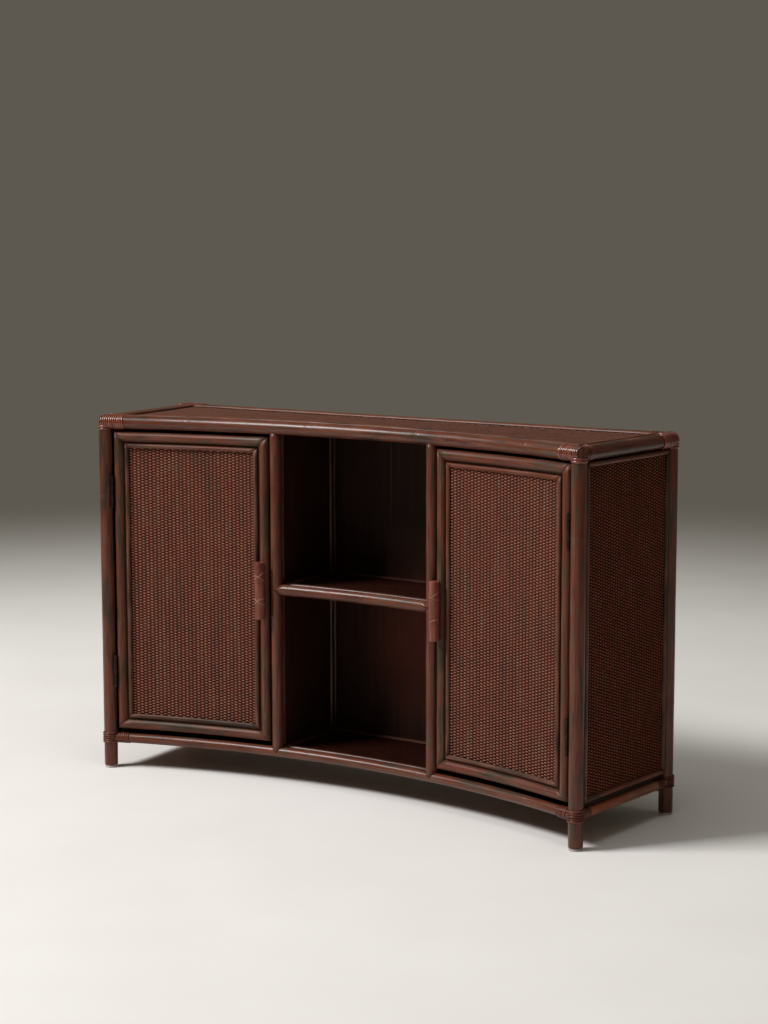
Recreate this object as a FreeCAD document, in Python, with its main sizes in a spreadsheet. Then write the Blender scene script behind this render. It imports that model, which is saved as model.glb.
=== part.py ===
import FreeCAD, Part
import math
import os
import re

# Rattan sideboard with a bowed-in front, two hinged woven doors and an open niche between them.
# Millimetres. X runs along the front to the right, Y to the back, Z up; the floor is Z = 0.
# The right half is modelled and the left half is its mirror image.

SIZES = [
    ("overall_height", 800),
    ("front_span", 1200),
    ("back_span", 1254),
    ("depth_span", 336),
    ("bow", 108),
    ("post_diameter", 30),
    ("top_rail_diameter", 30),
    ("lower_rail_diameter", 22),
    ("lower_rail_height", 69),
    ("divider_span", 402),
    ("divider_diameter", 24),
    ("shelf_height", 431),
    ("shelf_rail_diameter", 24),
    ("panel_thickness", 10),
    ("back_panel_thickness", 5),
    ("side_panel_thickness", 6),
    ("side_panel_proud", 2),
    ("divider_panel_thickness", 8),
    ("inner_shelf_setback", 30),
    ("weave_thickness", 3),
    ("bead_diameter", 10),
    ("bead_gap", 3),
    ("fit_gap", 0.2),
    ("glide_height", 5),
    ("glide_diameter", 28),
    ("door_pole_diameter", 22),
    ("door_panel_thickness", 5),
    ("door_panel_set_back", 4),
    ("door_bead_gap", 4),
    ("door_gap_hinge", 6),
    ("door_gap_divider", 5),
    ("door_gap_top", 6),
    ("door_gap_bottom", 11),
    ("hinge_length", 72),
    ("hinge_inset", 133),
    ("hinge_forward", 10),
    ("hinge_knuckle_diameter", 8),
    ("hinge_pin_diameter", 4),
    ("hinge_pin_clearance", 0.05),
    ("hinge_knuckle_gap", 0.3),
    ("hinge_leaf_width", 11),
    ("hinge_leaf_thickness", 1.6),
    ("hinge_leaf_sunk", 1),
    ("handle_length", 125),
    ("handle_height", 430),
    ("handle_diameter", 22),
    ("handle_pad_length", 8),
    ("handle_tie_spacing", 54),
    ("tie_width", 3),
    ("tie_thickness", 0.8),
    ("tie_pitch", 30),
    ("tie_turns", 1),
    ("binding_width", 5),
    ("binding_thickness", 1.3),
    ("binding_pitch", 5.7),
    ("binding_clearance", 0.15),
    ("post_binding_turns", 4),
    ("lower_binding_turns", 4),
    ("top_front_binding_turns", 6),
    ("top_side_binding_turns", 4),
    ("top_binding_clear", 6.5),
    ("catch_width", 24),
    ("catch_height", 14),
    ("catch_depth", 50),
    ("catch_from_divider", 60),
    ("catch_gap", 0.5),
    ("catch_plate_thickness", 1.2),
]

# Stations per turn of a wound strip and sides of a pole's section: few enough to stay light, many
# enough to read as round.
STATIONS_PER_TURN = 10
POLE_SIDES = 16
BEAD_SIDES = 12

# Straight lengths that a bent pole is made of, along the whole front and along a door or the niche.
FRONT_BENDS = 20
DOOR_BENDS = 7

# Degrees up a post's domed top at which it has its sections.
DOME_STEPS = (0, 30, 60, 80)

os.makedirs("parts", exist_ok=True)
doc = FreeCAD.newDocument("sideboard")
sheet = doc.addObject("Spreadsheet::Sheet", "Sizes")
for row, (alias, number) in enumerate(SIZES, start=1):
    sheet.set(f"A{row}", alias)
    sheet.set(f"B{row}", str(number))
    sheet.setAlias(f"B{row}", alias)
doc.recompute()

ALIAS = re.compile(r"(?<![\w.])(" + "|".join(alias for alias, number in SIZES) + r")\b")
nodes = []


def sized(expression):
    """Spell bare size names in an expression as cells of the sheet."""
    return ALIAS.sub(r"Sizes.\1", expression)


def size(alias):
    return float(sheet.get(alias))


# Places that many pieces share, as expressions.
BOW_RADIUS = "(((front_span / 2)^2 + bow^2) / (2 * bow))"
BOW_CENTRE = f"(bow - depth_span / 2 - {BOW_RADIUS})"
TAPER = "atan((back_span - front_span) / 2 / depth_span)"
POST_ANGLE = f"asin(front_span / 2 / {BOW_RADIUS})"
DIVIDER_ANGLE = f"asin(divider_span / 2 / {BOW_RADIUS})"
TOP_AXIS = "(overall_height - top_rail_diameter / 2)"
TOP_UNDER = "(overall_height - top_rail_diameter)"
LOWER_TOP = "(lower_rail_height + lower_rail_diameter / 2)"
FLOOR_LOW = "(lower_rail_height - panel_thickness / 2)"
FLOOR_TOP = "(lower_rail_height + panel_thickness / 2)"
CEILING_LOW = f"({TOP_AXIS} - panel_thickness / 2)"
CEILING_TOP = f"({TOP_AXIS} + panel_thickness / 2)"
SHELF_LOW = "(shelf_height - panel_thickness / 2)"
SHELF_TOP = "(shelf_height + panel_thickness / 2)"
BACK_FRONT = "(depth_span / 2 - top_rail_diameter / 2 - fit_gap - back_panel_thickness)"
DIVIDER_X = "(divider_span / 2)"
DIVIDER_Y = f"({BOW_CENTRE} + {BOW_RADIUS} * cos({DIVIDER_ANGLE}))"
SIDE_LENGTH = f"(depth_span / cos({TAPER}))"


def beyond(angle, arc_length):
    """An angle on the bow, a given length of arc further from the middle."""
    return f"({angle} + ({arc_length}) / {BOW_RADIUS} * 1 rad)"


def on_bow(angle, radius=BOW_RADIUS):
    """Plan position at an angle on a circle round the bow's centre."""
    return f"({radius}) * sin({angle})", f"{BOW_CENTRE} + ({radius}) * cos({angle})"


def spot(x="0", y="0", z="0", turn="0", axis="0; 0; 1"):
    """A placement as an expression: a turn about an axis, then a move."""
    return f"placement(vector({x}; {y}; {z}); rotation(vector({axis}); ({turn}) * 1 deg / 1 deg))"


def chained(*spots):
    return " * ".join(spots)


def solid(kind, label, place=None, **sizes):
    """Add one document object whose sizes and placement follow the sheet."""
    thing = doc.addObject(kind, label)
    thing.Label = label
    for name, expression in sizes.items():
        thing.setExpression(name, sized(expression))
    if place:
        thing.setExpression("Placement", sized(place))
    return thing


def joined(label, things):
    thing = doc.addObject("Part::MultiFuse", label)
    thing.Label = label
    thing.Shapes = things
    return thing


def grouped(label, things):
    thing = doc.addObject("Part::Compound", label)
    thing.Label = label
    thing.Links = things
    return thing


def cut(label, base, tools):
    thing = doc.addObject("Part::Cut", label)
    thing.Label = label
    thing.Base = base
    thing.Tool = tools[0] if len(tools) == 1 else joined(f"{label}_tools", tools)
    return thing


def kept_inside(label, base, tool):
    thing = doc.addObject("Part::Common", label)
    thing.Label = label
    thing.Base = base
    thing.Tool = tool
    return thing


def mirrored(label, source):
    """The left-hand twin of a right-hand piece."""
    thing = doc.addObject("Part::Mirroring", label)
    thing.Label = label
    thing.Source = source
    thing.Normal = FreeCAD.Vector(1, 0, 0)
    return thing


def node(thing):
    nodes.append(thing)
    return thing


def pair(stem, right):
    """Hand over a right-hand piece together with its left-hand twin."""
    right.Label = f"{stem}_right"
    node(right)
    return node(mirrored(f"{stem}_left", right))


def both_sides(label, things):
    """One node that holds right-hand pieces and their left-hand twins."""
    right = grouped(f"{label}_right_half", things)
    return node(grouped(label, [right, mirrored(f"{label}_left_half", right)]))


def box(label, place, length, width, height):
    return solid("Part::Box", label, place, Length=length, Width=width, Height=height)


def rod(label, place, diameter, length):
    return solid("Part::Cylinder", label, place, Radius=f"({diameter}) / 2", Height=length)


def pole(label, place, diameter, length, sides=POLE_SIDES):
    """A straight pole along local Z: a many-sided prism with its corners on the given diameter."""
    prism = solid("Part::Prism", label, place, Circumradius=f"({diameter}) / 2", Height=length)
    prism.Polygon = sides
    return prism


def around(diameter, sides=POLE_SIDES):
    """The corner diameter of a many-sided prism whose faces stand on the given diameter."""
    return f"(({diameter}) / cos(180 deg / {sides}))"


def half_round(label, place, diameter, length):
    """A half-round bead along local Z, with its flat face on local Y = 0."""
    whole = pole(f"{label}_whole", place, diameter, length, BEAD_SIDES)
    under = box(f"{label}_under", chained(place, spot(f"-{diameter}", f"-{diameter}", f"-{diameter}")),
                f"2 * {diameter}", diameter, f"{length} + 2 * {diameter}")
    return cut(label, whole, [under])


def many_sided(label, place, diameter, sides=POLE_SIDES):
    """A pole's section in local XY: a polygon with its corners on the given diameter."""
    section = solid("Part::RegularPolygon", label, place, Circumradius=f"({diameter}) / 2")
    section.Polygon = sides
    return section


def lofted(label, sections):
    """A solid with straight lines between its sections."""
    thing = doc.addObject("Part::Loft", label)
    thing.Label = label
    thing.Sections = sections
    thing.Solid = True
    thing.Ruled = True
    return thing


def bowed_rod(label, near_angle, far_angle, z, diameter, bends, radius=BOW_RADIUS, sides=POLE_SIDES):
    """A pole bent on the bow from one angle to another, in straight lengths between its sections."""
    sections = []
    for bend in range(bends + 1):
        angle = f"({near_angle} + ({far_angle} - ({near_angle})) * {bend / bends:.6f})"
        x, y = on_bow(angle, radius)
        place = chained(spot(x, y, z, f"-{angle}"), LYING_RIGHT)
        sections.append(many_sided(f"{label}_section_{bend}", place, diameter, sides))
    return lofted(label, sections)


def bow_drum(label, radius, low, high):
    """An upright drum round the bow's centre, for cutting bowed edges, that overshoots both heights."""
    over = "panel_thickness"
    return rod(label, spot(y=BOW_CENTRE, z=f"{low} - {over}"), f"2 * ({radius})",
               f"({high}) - ({low}) + 2 * {over}")


def bowed_sheet(label, near_angle, far_angle, inner, outer, low, high):
    """A sheet bent on the bow, between two radii."""
    place = spot(y=BOW_CENTRE, z=low, turn=f"90 deg - {far_angle}")
    sector = solid("Part::Cylinder", f"{label}_sector", place, Radius=outer,
                   Height=f"({high}) - ({low})", Angle=f"({far_angle}) - ({near_angle})")
    return cut(label, sector, [bow_drum(f"{label}_hollow", inner, low, high)])


def half_width(y, inset):
    """Half the plan's width at a depth, in from the line of the side posts' axes."""
    spread = f"(back_span - front_span) / 2 * (({y}) + depth_span / 2) / depth_span"
    return f"(front_span / 2 + {spread} - ({inset}) / cos({TAPER}))"


def plan_board(label, front, back, inset, low, high):
    """A flat board with the plan's taper, from a front depth to a back depth."""
    near, far = half_width(front, inset), half_width(back, inset)
    return solid("Part::Wedge", label, Xmin=f"-{near}", Xmax=near, X2min=f"-{far}", X2max=far,
                 Ymin=front, Ymax=back, Zmin=low, Zmax=high, Z2min=low, Z2max=high)


def along_side(n="0", u="0", z="0"):
    """The right side's own frame: n outwards, u towards the back from the front post's axis."""
    return chained(spot("front_span / 2", "-depth_span / 2", z, f"-{TAPER}"), spot(n, u))


LYING_BACK = spot(turn="-90", axis="1; 0; 0")
LYING_FORWARD = spot(turn="90", axis="1; 0; 0")
LYING_RIGHT = spot(turn="90", axis="0; 1; 0")
FLAT_SIDE_OUT = spot(turn="240", axis="1; 1; 1")


def wound_strip(label, pole_diameter, strip, turns, crowned, hand):
    """One unbroken strip of peel wound round a pole, about local Z and centred on it.

    It is a ruled loft through crowned or flat sections, which stand on a right-hand (1) or
    left-hand (-1) helix, with a straight tail at each end. The sections' inner corners stand out
    so that the chords clear the pole.
    """
    width, thickness, pitch = [size(f"{strip}_{name}") for name in ("width", "thickness", "pitch")]
    step = 2 * math.pi / STATIONS_PER_TURN
    inner = (pole_diameter / 2 + size("binding_clearance")) / math.cos(step / 2)
    count = round(turns * STATIONS_PER_TURN)
    centres = []
    for station in range(count + 1):
        angle = station * step
        outward = FreeCAD.Vector(math.cos(angle), hand * math.sin(angle), 0)
        rise = pitch * (station / STATIONS_PER_TURN - turns / 2)
        centres.append((outward * inner + FreeCAD.Vector(0, 0, rise), outward))
    for end, neighbour, place in ((0, 1, 0), (-1, -2, len(centres) + 1)):
        point, outward = centres[end]
        away = point - centres[neighbour][0]
        tangent = away - outward * away.dot(outward)
        tangent.normalize()
        centres.insert(place, (point + tangent * thickness, outward))
    half = FreeCAD.Vector(0, 0, width / 2)
    sections = []
    for point, outward in centres:
        top = point + outward * thickness
        crest = [top] if crowned else [top - half, top + half]
        corners = [point - half] + crest + [point + half]
        sections.append(Part.makePolygon(corners + corners[:1]))
    edges_above = [point + half for point, outward in centres]
    edges_below = [point - half for point, outward in centres]
    least = min(low.distanceToPoint(high)
                for index, high in enumerate(edges_above)
                for low in edges_below[index + STATIONS_PER_TURN // 2:])
    print(f"{label}: least gap between turns {least:.2f} mm")
    return Part.makeLoft(sections, True, True)


def winding(label, place, pole_diameter, strip, turns, crowned=True, hand=1):
    """A wound strip as a document object, moved onto its pole."""
    thing = doc.addObject("Part::Feature", label)
    thing.Shape = wound_strip(label, pole_diameter, strip, turns, crowned, hand)
    thing.setExpression("Placement", sized(place))
    return thing


def bound_diameter(pole_alias, strip="binding"):
    """Across a wound strip on a pole, at its crowns."""
    return f"({around(f'{pole_alias} + 2 * binding_clearance', STATIONS_PER_TURN)} + 2 * {strip}_thickness)"


# Corner posts, their clearances and the strips wound on them.
POSTS = {
    "front": ("front_span / 2", "-depth_span / 2"),
    "back": ("back_span / 2", "depth_span / 2"),
}
POST_BINDING_LENGTH = "(post_binding_turns * binding_pitch + binding_width)"
LOWER_BINDING_LENGTH = "(lower_binding_turns * binding_pitch + binding_width)"
TOP_FRONT_BINDING_LENGTH = "(top_front_binding_turns * binding_pitch + binding_width)"
TOP_SIDE_BINDING_LENGTH = "(top_side_binding_turns * binding_pitch + binding_width)"
POST_ROOM = f"({bound_diameter('post_diameter')} + 2 * fit_gap)"


def domed(label, end, low, diameter):
    """An upright pole at a post's place, from a height up to a dome round the top rails' axes."""
    x, y = POSTS[end]
    shaft = pole(f"{label}_shaft", spot(x, y, low), diameter, f"{TOP_AXIS} - {low}")
    sections = []
    for step in DOME_STEPS:
        place = spot(x, y, f"{TOP_AXIS} + ({diameter}) / 2 * sin({step} deg)")
        sections.append(many_sided(f"{label}_dome_{step}", place, f"({diameter}) * cos({step} deg)"))
    return joined(label, [shaft, lofted(f"{label}_dome", sections)])


rooms = [domed(f"post_{end}_room", end, "0", "post_diameter + 2 * fit_gap") for end in POSTS]
rooms_left = [mirrored(f"post_{end}_room_left", room) for end, room in zip(POSTS, rooms)]
bound_rooms = [pole(f"post_{end}_bound_room", spot(x, y, f"lower_rail_height - {POST_BINDING_LENGTH}"),
                    around(POST_ROOM), f"2 * {POST_BINDING_LENGTH}")
               for end, (x, y) in POSTS.items()]
bound_rooms_left = [mirrored(f"post_{end}_bound_room_left", room)
                    for end, room in zip(POSTS, bound_rooms)]


# Bindings: one on each post at the lower rails, and one on each rail next to each post.
RAIL_START = "(post_diameter / 4)"
FRONT_END = beyond(POST_ANGLE, f"-{RAIL_START}")


def on_front_end(distance, z):
    """A frame on the front rail's last straight length, its local Z along it, in from the right post."""
    x, y = on_bow(FRONT_END)
    angle = f"{FRONT_END} * {1 - 1 / FRONT_BENDS}"
    return chained(spot(x, y, z, f"-{angle}"), spot(f"{RAIL_START} - ({distance})"), LYING_RIGHT)


def binding_places(level, z, start, front_length, side_length):
    """Where the strips of one level go: label, pole size, turns, placement and length.

    A top side rail is bound at its back end only, as its front end is under the corner's own strip.
    """
    rail = f"{level}_rail_diameter"
    front_turns = "lower_binding_turns" if level == "lower" else "top_front_binding_turns"
    side_turns = "lower_binding_turns" if level == "lower" else "top_side_binding_turns"
    side_near = f"{start} + {side_length} / 2"
    at_front = [(f"{level}_side_front", rail, side_turns,
                 chained(along_side(u=side_near, z=z), LYING_BACK), side_length)]
    return (at_front if level == "lower" else []) + [
        (f"{level}_front", rail, front_turns,
         on_front_end(f"{start} + {front_length} / 2", z), front_length),
        (f"{level}_side_back", rail, side_turns,
         chained(along_side(u=f"{SIDE_LENGTH} - ({side_near})", z=z), LYING_BACK), side_length),
        (f"{level}_back", rail, side_turns,
         chained(spot(f"back_span / 2 - ({side_near})", "depth_span / 2", z), LYING_RIGHT), side_length),
    ]


AFTER_BOUND_POST = f"({around(POST_ROOM)} / 2 + fit_gap)"
AFTER_POST = "(post_diameter / 2 + top_binding_clear)"
strips = {
    "lower": binding_places("lower", "lower_rail_height", AFTER_BOUND_POST,
                            LOWER_BINDING_LENGTH, LOWER_BINDING_LENGTH),
    "top": binding_places("top", TOP_AXIS, AFTER_POST,
                          TOP_FRONT_BINDING_LENGTH, TOP_SIDE_BINDING_LENGTH),
}
for end, (x, y) in POSTS.items():
    strips["lower"].append((f"lower_post_{end}", "post_diameter", "post_binding_turns",
                            spot(x, y, "lower_rail_height"), POST_BINDING_LENGTH))
binding_rooms = []
for level, places in strips.items():
    both_sides(f"corner_bindings_{level}",
               [winding(f"binding_{name}", place, size(bound), "binding", size(turns))
                for name, bound, turns, place, length in places])
    # A rail strip's room runs on to the post, so that no corner of a board is left beyond it.
    for name, bound, turns, place, length in places:
        reach = length if bound == "post_diameter" else f"({length} + post_diameter)"
        room = pole(f"binding_{name}_room", chained(place, spot(z=f"-{reach} / 2")),
                    around(f"{bound_diameter(bound)} + 2 * fit_gap"), reach)
        binding_rooms += [room, mirrored(f"binding_{name}_room_left", room)]
binding_room = joined("binding_room", binding_rooms)


# Rails of the frame, coped onto the posts. The side rails are coped onto the front and back ones too.
def rail_set(level, z, diameter, room_right, room_left):
    front = bowed_rod(f"{level}_front_pole", f"-{FRONT_END}", FRONT_END, z, diameter, FRONT_BENDS)
    node(cut(f"{level}_rail_front", front, [room_right[0], room_left[0]]))
    back = pole(f"{level}_back_pole",
                chained(spot(f"{RAIL_START} - back_span / 2", "depth_span / 2", z), LYING_RIGHT),
                diameter, f"back_span - 2 * {RAIL_START}")
    node(cut(f"{level}_rail_back", back, [room_right[1], room_left[1]]))
    side = pole(f"{level}_side_pole", chained(along_side(u=RAIL_START, z=z), LYING_BACK), diameter,
                f"{SIDE_LENGTH} - 2 * {RAIL_START}")
    clear, reach = f"{diameter} + 2 * fit_gap", "(2 * post_diameter)"
    neighbours = [
        pole(f"{level}_front_end_room", on_front_end(reach, z), clear, f"2 * {reach}"),
        pole(f"{level}_back_end_room",
             chained(spot(f"back_span / 2 - {reach}", "depth_span / 2", z), LYING_RIGHT),
             clear, f"2 * {reach}"),
    ]
    pair(f"{level}_rail", cut(f"{level}_side_rail", side, room_right + neighbours))


rail_set("top", TOP_AXIS, "top_rail_diameter", rooms, rooms_left)
rail_set("lower", "lower_rail_height", "lower_rail_diameter", bound_rooms, bound_rooms_left)
side_rail_rooms = [pole(f"{level}_side_room", chained(along_side(z=z), LYING_BACK),
                        f"{level}_rail_diameter + 2 * fit_gap", SIDE_LENGTH)
                   for level, z in (("top", TOP_AXIS), ("lower", "lower_rail_height"))]


# Divider poles stand between the bowed rails with fish-mouth ends, and carry the shelf's rail.
def rail_room(level, z):
    place = chained(spot(DIVIDER_X, DIVIDER_Y, z, f"-{DIVIDER_ANGLE}"), LYING_RIGHT,
                    spot(z="-divider_diameter"))
    return pole(f"{level}_rail_room", place, f"{level}_rail_diameter + 4 * fit_gap", "2 * divider_diameter")


front_rail_rooms = [rail_room("top", TOP_AXIS), rail_room("lower", "lower_rail_height")]
shelf_rail_room = rail_room("shelf", "shelf_height")
divider_pole = pole("divider_pole", spot(DIVIDER_X, DIVIDER_Y, "lower_rail_height", f"-{DIVIDER_ANGLE}"),
                    "divider_diameter", f"{TOP_AXIS} - lower_rail_height")
pair("divider_post", cut("divider_pole_coped", divider_pole, front_rail_rooms))
divider_room = pole("divider_room", spot(DIVIDER_X, DIVIDER_Y, "0", f"-{DIVIDER_ANGLE}"),
                    "divider_diameter + 2 * fit_gap", "overall_height")
divider_rooms = [divider_room, mirrored("divider_room_left", divider_room)]
shelf_pole = bowed_rod("shelf_pole", f"-{DIVIDER_ANGLE}", DIVIDER_ANGLE, "shelf_height",
                       "shelf_rail_diameter", DOOR_BENDS)
node(cut("shelf_rail", shelf_pole, divider_rooms))


# Boards of the carcass.
def bowed_board(label, rail, low, high):
    """A top or bottom board, inside the rails and behind the bowed one."""
    seat = f"({rail} / 2 + fit_gap)"
    board = plan_board(f"{label}_blank", "-depth_span / 2", f"depth_span / 2 - {seat}", seat, low, high)
    front = bow_drum(f"{label}_bow", f"{BOW_RADIUS} + {seat}", low, high)
    bowed = cut(f"{label}_bowed", board, [front])
    return node(cut(label, bowed, [binding_room] + divider_rooms))


MAT_TOP = f"({CEILING_TOP} + weave_thickness)"
bowed_board("bottom_panel", "lower_rail_diameter", FLOOR_LOW, FLOOR_TOP)
bowed_board("top_panel", "top_rail_diameter", CEILING_LOW, CEILING_TOP)
bowed_board("top_weave", "top_rail_diameter", CEILING_TOP, MAT_TOP)

SIDE_INNER = "(side_panel_thickness - side_panel_proud + fit_gap)"
back_board = plan_board("back_board", BACK_FRONT, f"{BACK_FRONT} + back_panel_thickness", SIDE_INNER,
                        FLOOR_TOP, CEILING_LOW)
side_rail_rooms_left = [mirrored(f"{level}_side_room_left", room)
                        for level, room in zip(("top", "lower"), side_rail_rooms)]
node(cut("back_panel", back_board, [binding_room] + side_rail_rooms + side_rail_rooms_left))

divider_board = box("divider_board",
                    spot(f"{DIVIDER_X} - divider_panel_thickness / 2", DIVIDER_Y, FLOOR_TOP),
                    "divider_panel_thickness", f"{BACK_FRONT} - {DIVIDER_Y}", f"{CEILING_LOW} - {FLOOR_TOP}")
pair("divider_panel", cut("divider_board_coped", divider_board,
                          [divider_room, shelf_rail_room] + front_rail_rooms))

WALL_X = f"({DIVIDER_X} - divider_panel_thickness / 2 - fit_gap)"
OUTER_WALL_X = f"({DIVIDER_X} + divider_panel_thickness / 2 + fit_gap)"
niche_board = box("niche_board", spot(f"-{WALL_X}", "-depth_span / 2", SHELF_LOW), f"2 * {WALL_X}",
                  f"{BACK_FRONT} - fit_gap + depth_span / 2", "panel_thickness")
niche_bow = bow_drum("niche_bow", f"{BOW_RADIUS} + shelf_rail_diameter / 2 + fit_gap", SHELF_LOW, SHELF_TOP)
node(cut("niche_shelf", niche_board, [niche_bow] + divider_rooms))

shelf_blank = plan_board("inner_shelf_blank", "-depth_span / 2", f"{BACK_FRONT} - fit_gap", SIDE_INNER,
                         SHELF_LOW, SHELF_TOP)
shelf_bow = bow_drum("inner_shelf_bow", f"{BOW_RADIUS} + inner_shelf_setback", SHELF_LOW, SHELF_TOP)
shelf_middle = box("inner_shelf_middle", spot(f"-{OUTER_WALL_X}", "-depth_span / 2", SHELF_LOW),
                   f"2 * {OUTER_WALL_X}", "depth_span", "panel_thickness")
node(cut("inner_shelves", shelf_blank, [shelf_bow, shelf_middle] + rooms + rooms_left))

# Side boards and mats, cupped round the posts and the side rails.
side_rooms = rooms + [binding_room] + side_rail_rooms


def side_layer(stem, outer, thickness):
    blank = box(f"{stem}_blank", along_side(n=f"{outer} - {thickness}", z="lower_rail_height"),
                thickness, SIDE_LENGTH, f"{TOP_AXIS} - lower_rail_height")
    pair(stem, cut(f"{stem}_cupped", blank, side_rooms))


SIDE_FACE = "(side_panel_proud + weave_thickness)"
side_layer("side_panel", "side_panel_proud", "side_panel_thickness")
side_layer("side_weave", SIDE_FACE, "weave_thickness")

# Half-round beads round the side mats.
SIDE_LOW = f"({LOWER_TOP} + door_gap_bottom)"
SIDE_HIGH = f"({TOP_UNDER} - bead_gap)"
SIDE_EDGE = "(post_diameter / 2 + bead_gap + bead_diameter / 2)"
side_beads = []
for end, u in (("front", SIDE_EDGE), ("back", f"{SIDE_LENGTH} - {SIDE_EDGE}")):
    side_beads.append(half_round(f"side_bead_{end}",
                                 chained(along_side(SIDE_FACE, u, SIDE_LOW), spot(turn="-90")),
                                 "bead_diameter", f"{SIDE_HIGH} - {SIDE_LOW}"))
for end, z in (("low", f"{SIDE_LOW} + bead_diameter / 2"), ("high", f"{SIDE_HIGH} - bead_diameter / 2")):
    reach = f"({SIDE_EDGE} + bead_diameter / 2 + fit_gap)"
    side_beads.append(half_round(f"side_bead_{end}",
                                 chained(along_side(SIDE_FACE, reach, z), FLAT_SIDE_OUT),
                                 "bead_diameter", f"{SIDE_LENGTH} - 2 * {reach}"))
pair("side_beads", grouped("side_bead_set", side_beads))

# Half-round beads on the top mat, inside the rails.
TOP_EDGE = "(top_rail_diameter / 2 + fit_gap + bead_diameter / 2)"
bead_back_y = f"(depth_span / 2 - {TOP_EDGE})"
bead_back_x = half_width(bead_back_y, TOP_EDGE)
side_bead_end = along_side(f"-{TOP_EDGE}", f"{SIDE_LENGTH} - {TOP_EDGE}", MAT_TOP)
top_side_bead = half_round("top_side_bead", chained(side_bead_end, LYING_FORWARD),
                           "bead_diameter", f"{SIDE_LENGTH} - 2 * {TOP_EDGE}")
top_side_room = pole("top_side_bead_room",
                     chained(along_side(f"-{TOP_EDGE}", SIDE_LENGTH, MAT_TOP), LYING_FORWARD),
                     "bead_diameter + 2 * fit_gap", SIDE_LENGTH, BEAD_SIDES)
side_rooms_both = [top_side_room, mirrored("top_side_bead_room_left", top_side_room)]
top_back_bead = half_round("top_back_bead",
                           chained(spot(f"-{bead_back_x}", bead_back_y, MAT_TOP, "90"), LYING_FORWARD),
                           "bead_diameter", f"2 * {bead_back_x}")
top_front_pole = bowed_rod("top_front_bead_pole", f"-{POST_ANGLE}", POST_ANGLE, MAT_TOP, "bead_diameter",
                           FRONT_BENDS, f"{BOW_RADIUS} + {TOP_EDGE}", BEAD_SIDES)
above_mat = plan_board("above_mat", "-depth_span / 2", "depth_span / 2", TOP_EDGE, MAT_TOP,
                       f"{MAT_TOP} + bead_diameter")
top_front_bead = kept_inside("top_front_bead_half", top_front_pole, above_mat)
front_drum = bow_drum("top_bead_front_drum", f"{BOW_RADIUS} + {TOP_EDGE} + bead_diameter / 2 + fit_gap",
                      MAT_TOP, f"{MAT_TOP} + bead_diameter")
side_bead = cut("top_side_bead_coped", top_side_bead, [binding_room, front_drum])
node(grouped("top_beads", [
    cut("top_front_bead", top_front_bead, [binding_room]),
    cut("top_back_bead_coped", top_back_bead, side_rooms_both),
    side_bead,
    mirrored("top_side_bead_left", side_bead),
]))

# Half-round beads stand on the niche's walls, behind the divider poles and in the back corners.
BEAD_FRONT_Y = f"({DIVIDER_Y} + divider_diameter / 2 + fit_gap + bead_diameter / 2)"
BEAD_BACK_Y = f"({BACK_FRONT} - fit_gap - bead_diameter / 2)"
BEAD_WALL_X = f"({WALL_X} + fit_gap)"
niche_beads = []
for name, low, high in (("lower", FLOOR_TOP, SHELF_LOW), ("upper", SHELF_TOP, CEILING_LOW)):
    for end, y in (("front", BEAD_FRONT_Y), ("back", BEAD_BACK_Y)):
        bead = half_round(f"niche_{name}_{end}_blank", spot(BEAD_WALL_X, y, low, "90"),
                          "bead_diameter", f"({high}) - ({low})")
        niche_beads.append(cut(f"niche_{name}_{end}_bead", bead, front_rail_rooms))
both_sides("niche_beads", niche_beads)


# Doors. The right one is modelled: a mitred frame of poles, bent where they follow the bow.
HINGE_EDGE = "(post_diameter / 2 + door_gap_hinge)"
HINGE_STILE = beyond(POST_ANGLE, f"-{HINGE_EDGE} - door_pole_diameter / 2")
HANDLE_STILE = beyond(DIVIDER_ANGLE, "divider_diameter / 2 + door_gap_divider + door_pole_diameter / 2")
DOOR_LOW = f"({LOWER_TOP} + door_gap_bottom)"
DOOR_HIGH = f"({TOP_UNDER} - door_gap_top)"
DOOR_LOW_AXIS = f"({DOOR_LOW} + door_pole_diameter / 2)"
DOOR_HIGH_AXIS = f"({DOOR_HIGH} - door_pole_diameter / 2)"
SHEET_FRONT = f"({BOW_RADIUS} + door_panel_set_back - door_panel_thickness)"
SHEET_BACK = f"({BOW_RADIUS} + door_panel_set_back)"
MAT_FRONT = f"({SHEET_FRONT} - weave_thickness)"


def mitre_block(label, angle, z, radius, lean, reach):
    """A block whose face is a mitre plane through a corner, leaning from the bow's tangent."""
    x, y = on_bow(angle, radius)
    place = chained(spot(x, y, z, f"-{angle}"), spot(turn=lean, axis="0; 1; 0"),
                    spot("0", f"-({reach}) / 2", f"-({reach}) / 2"))
    return box(label, place, reach, reach, reach)


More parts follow.
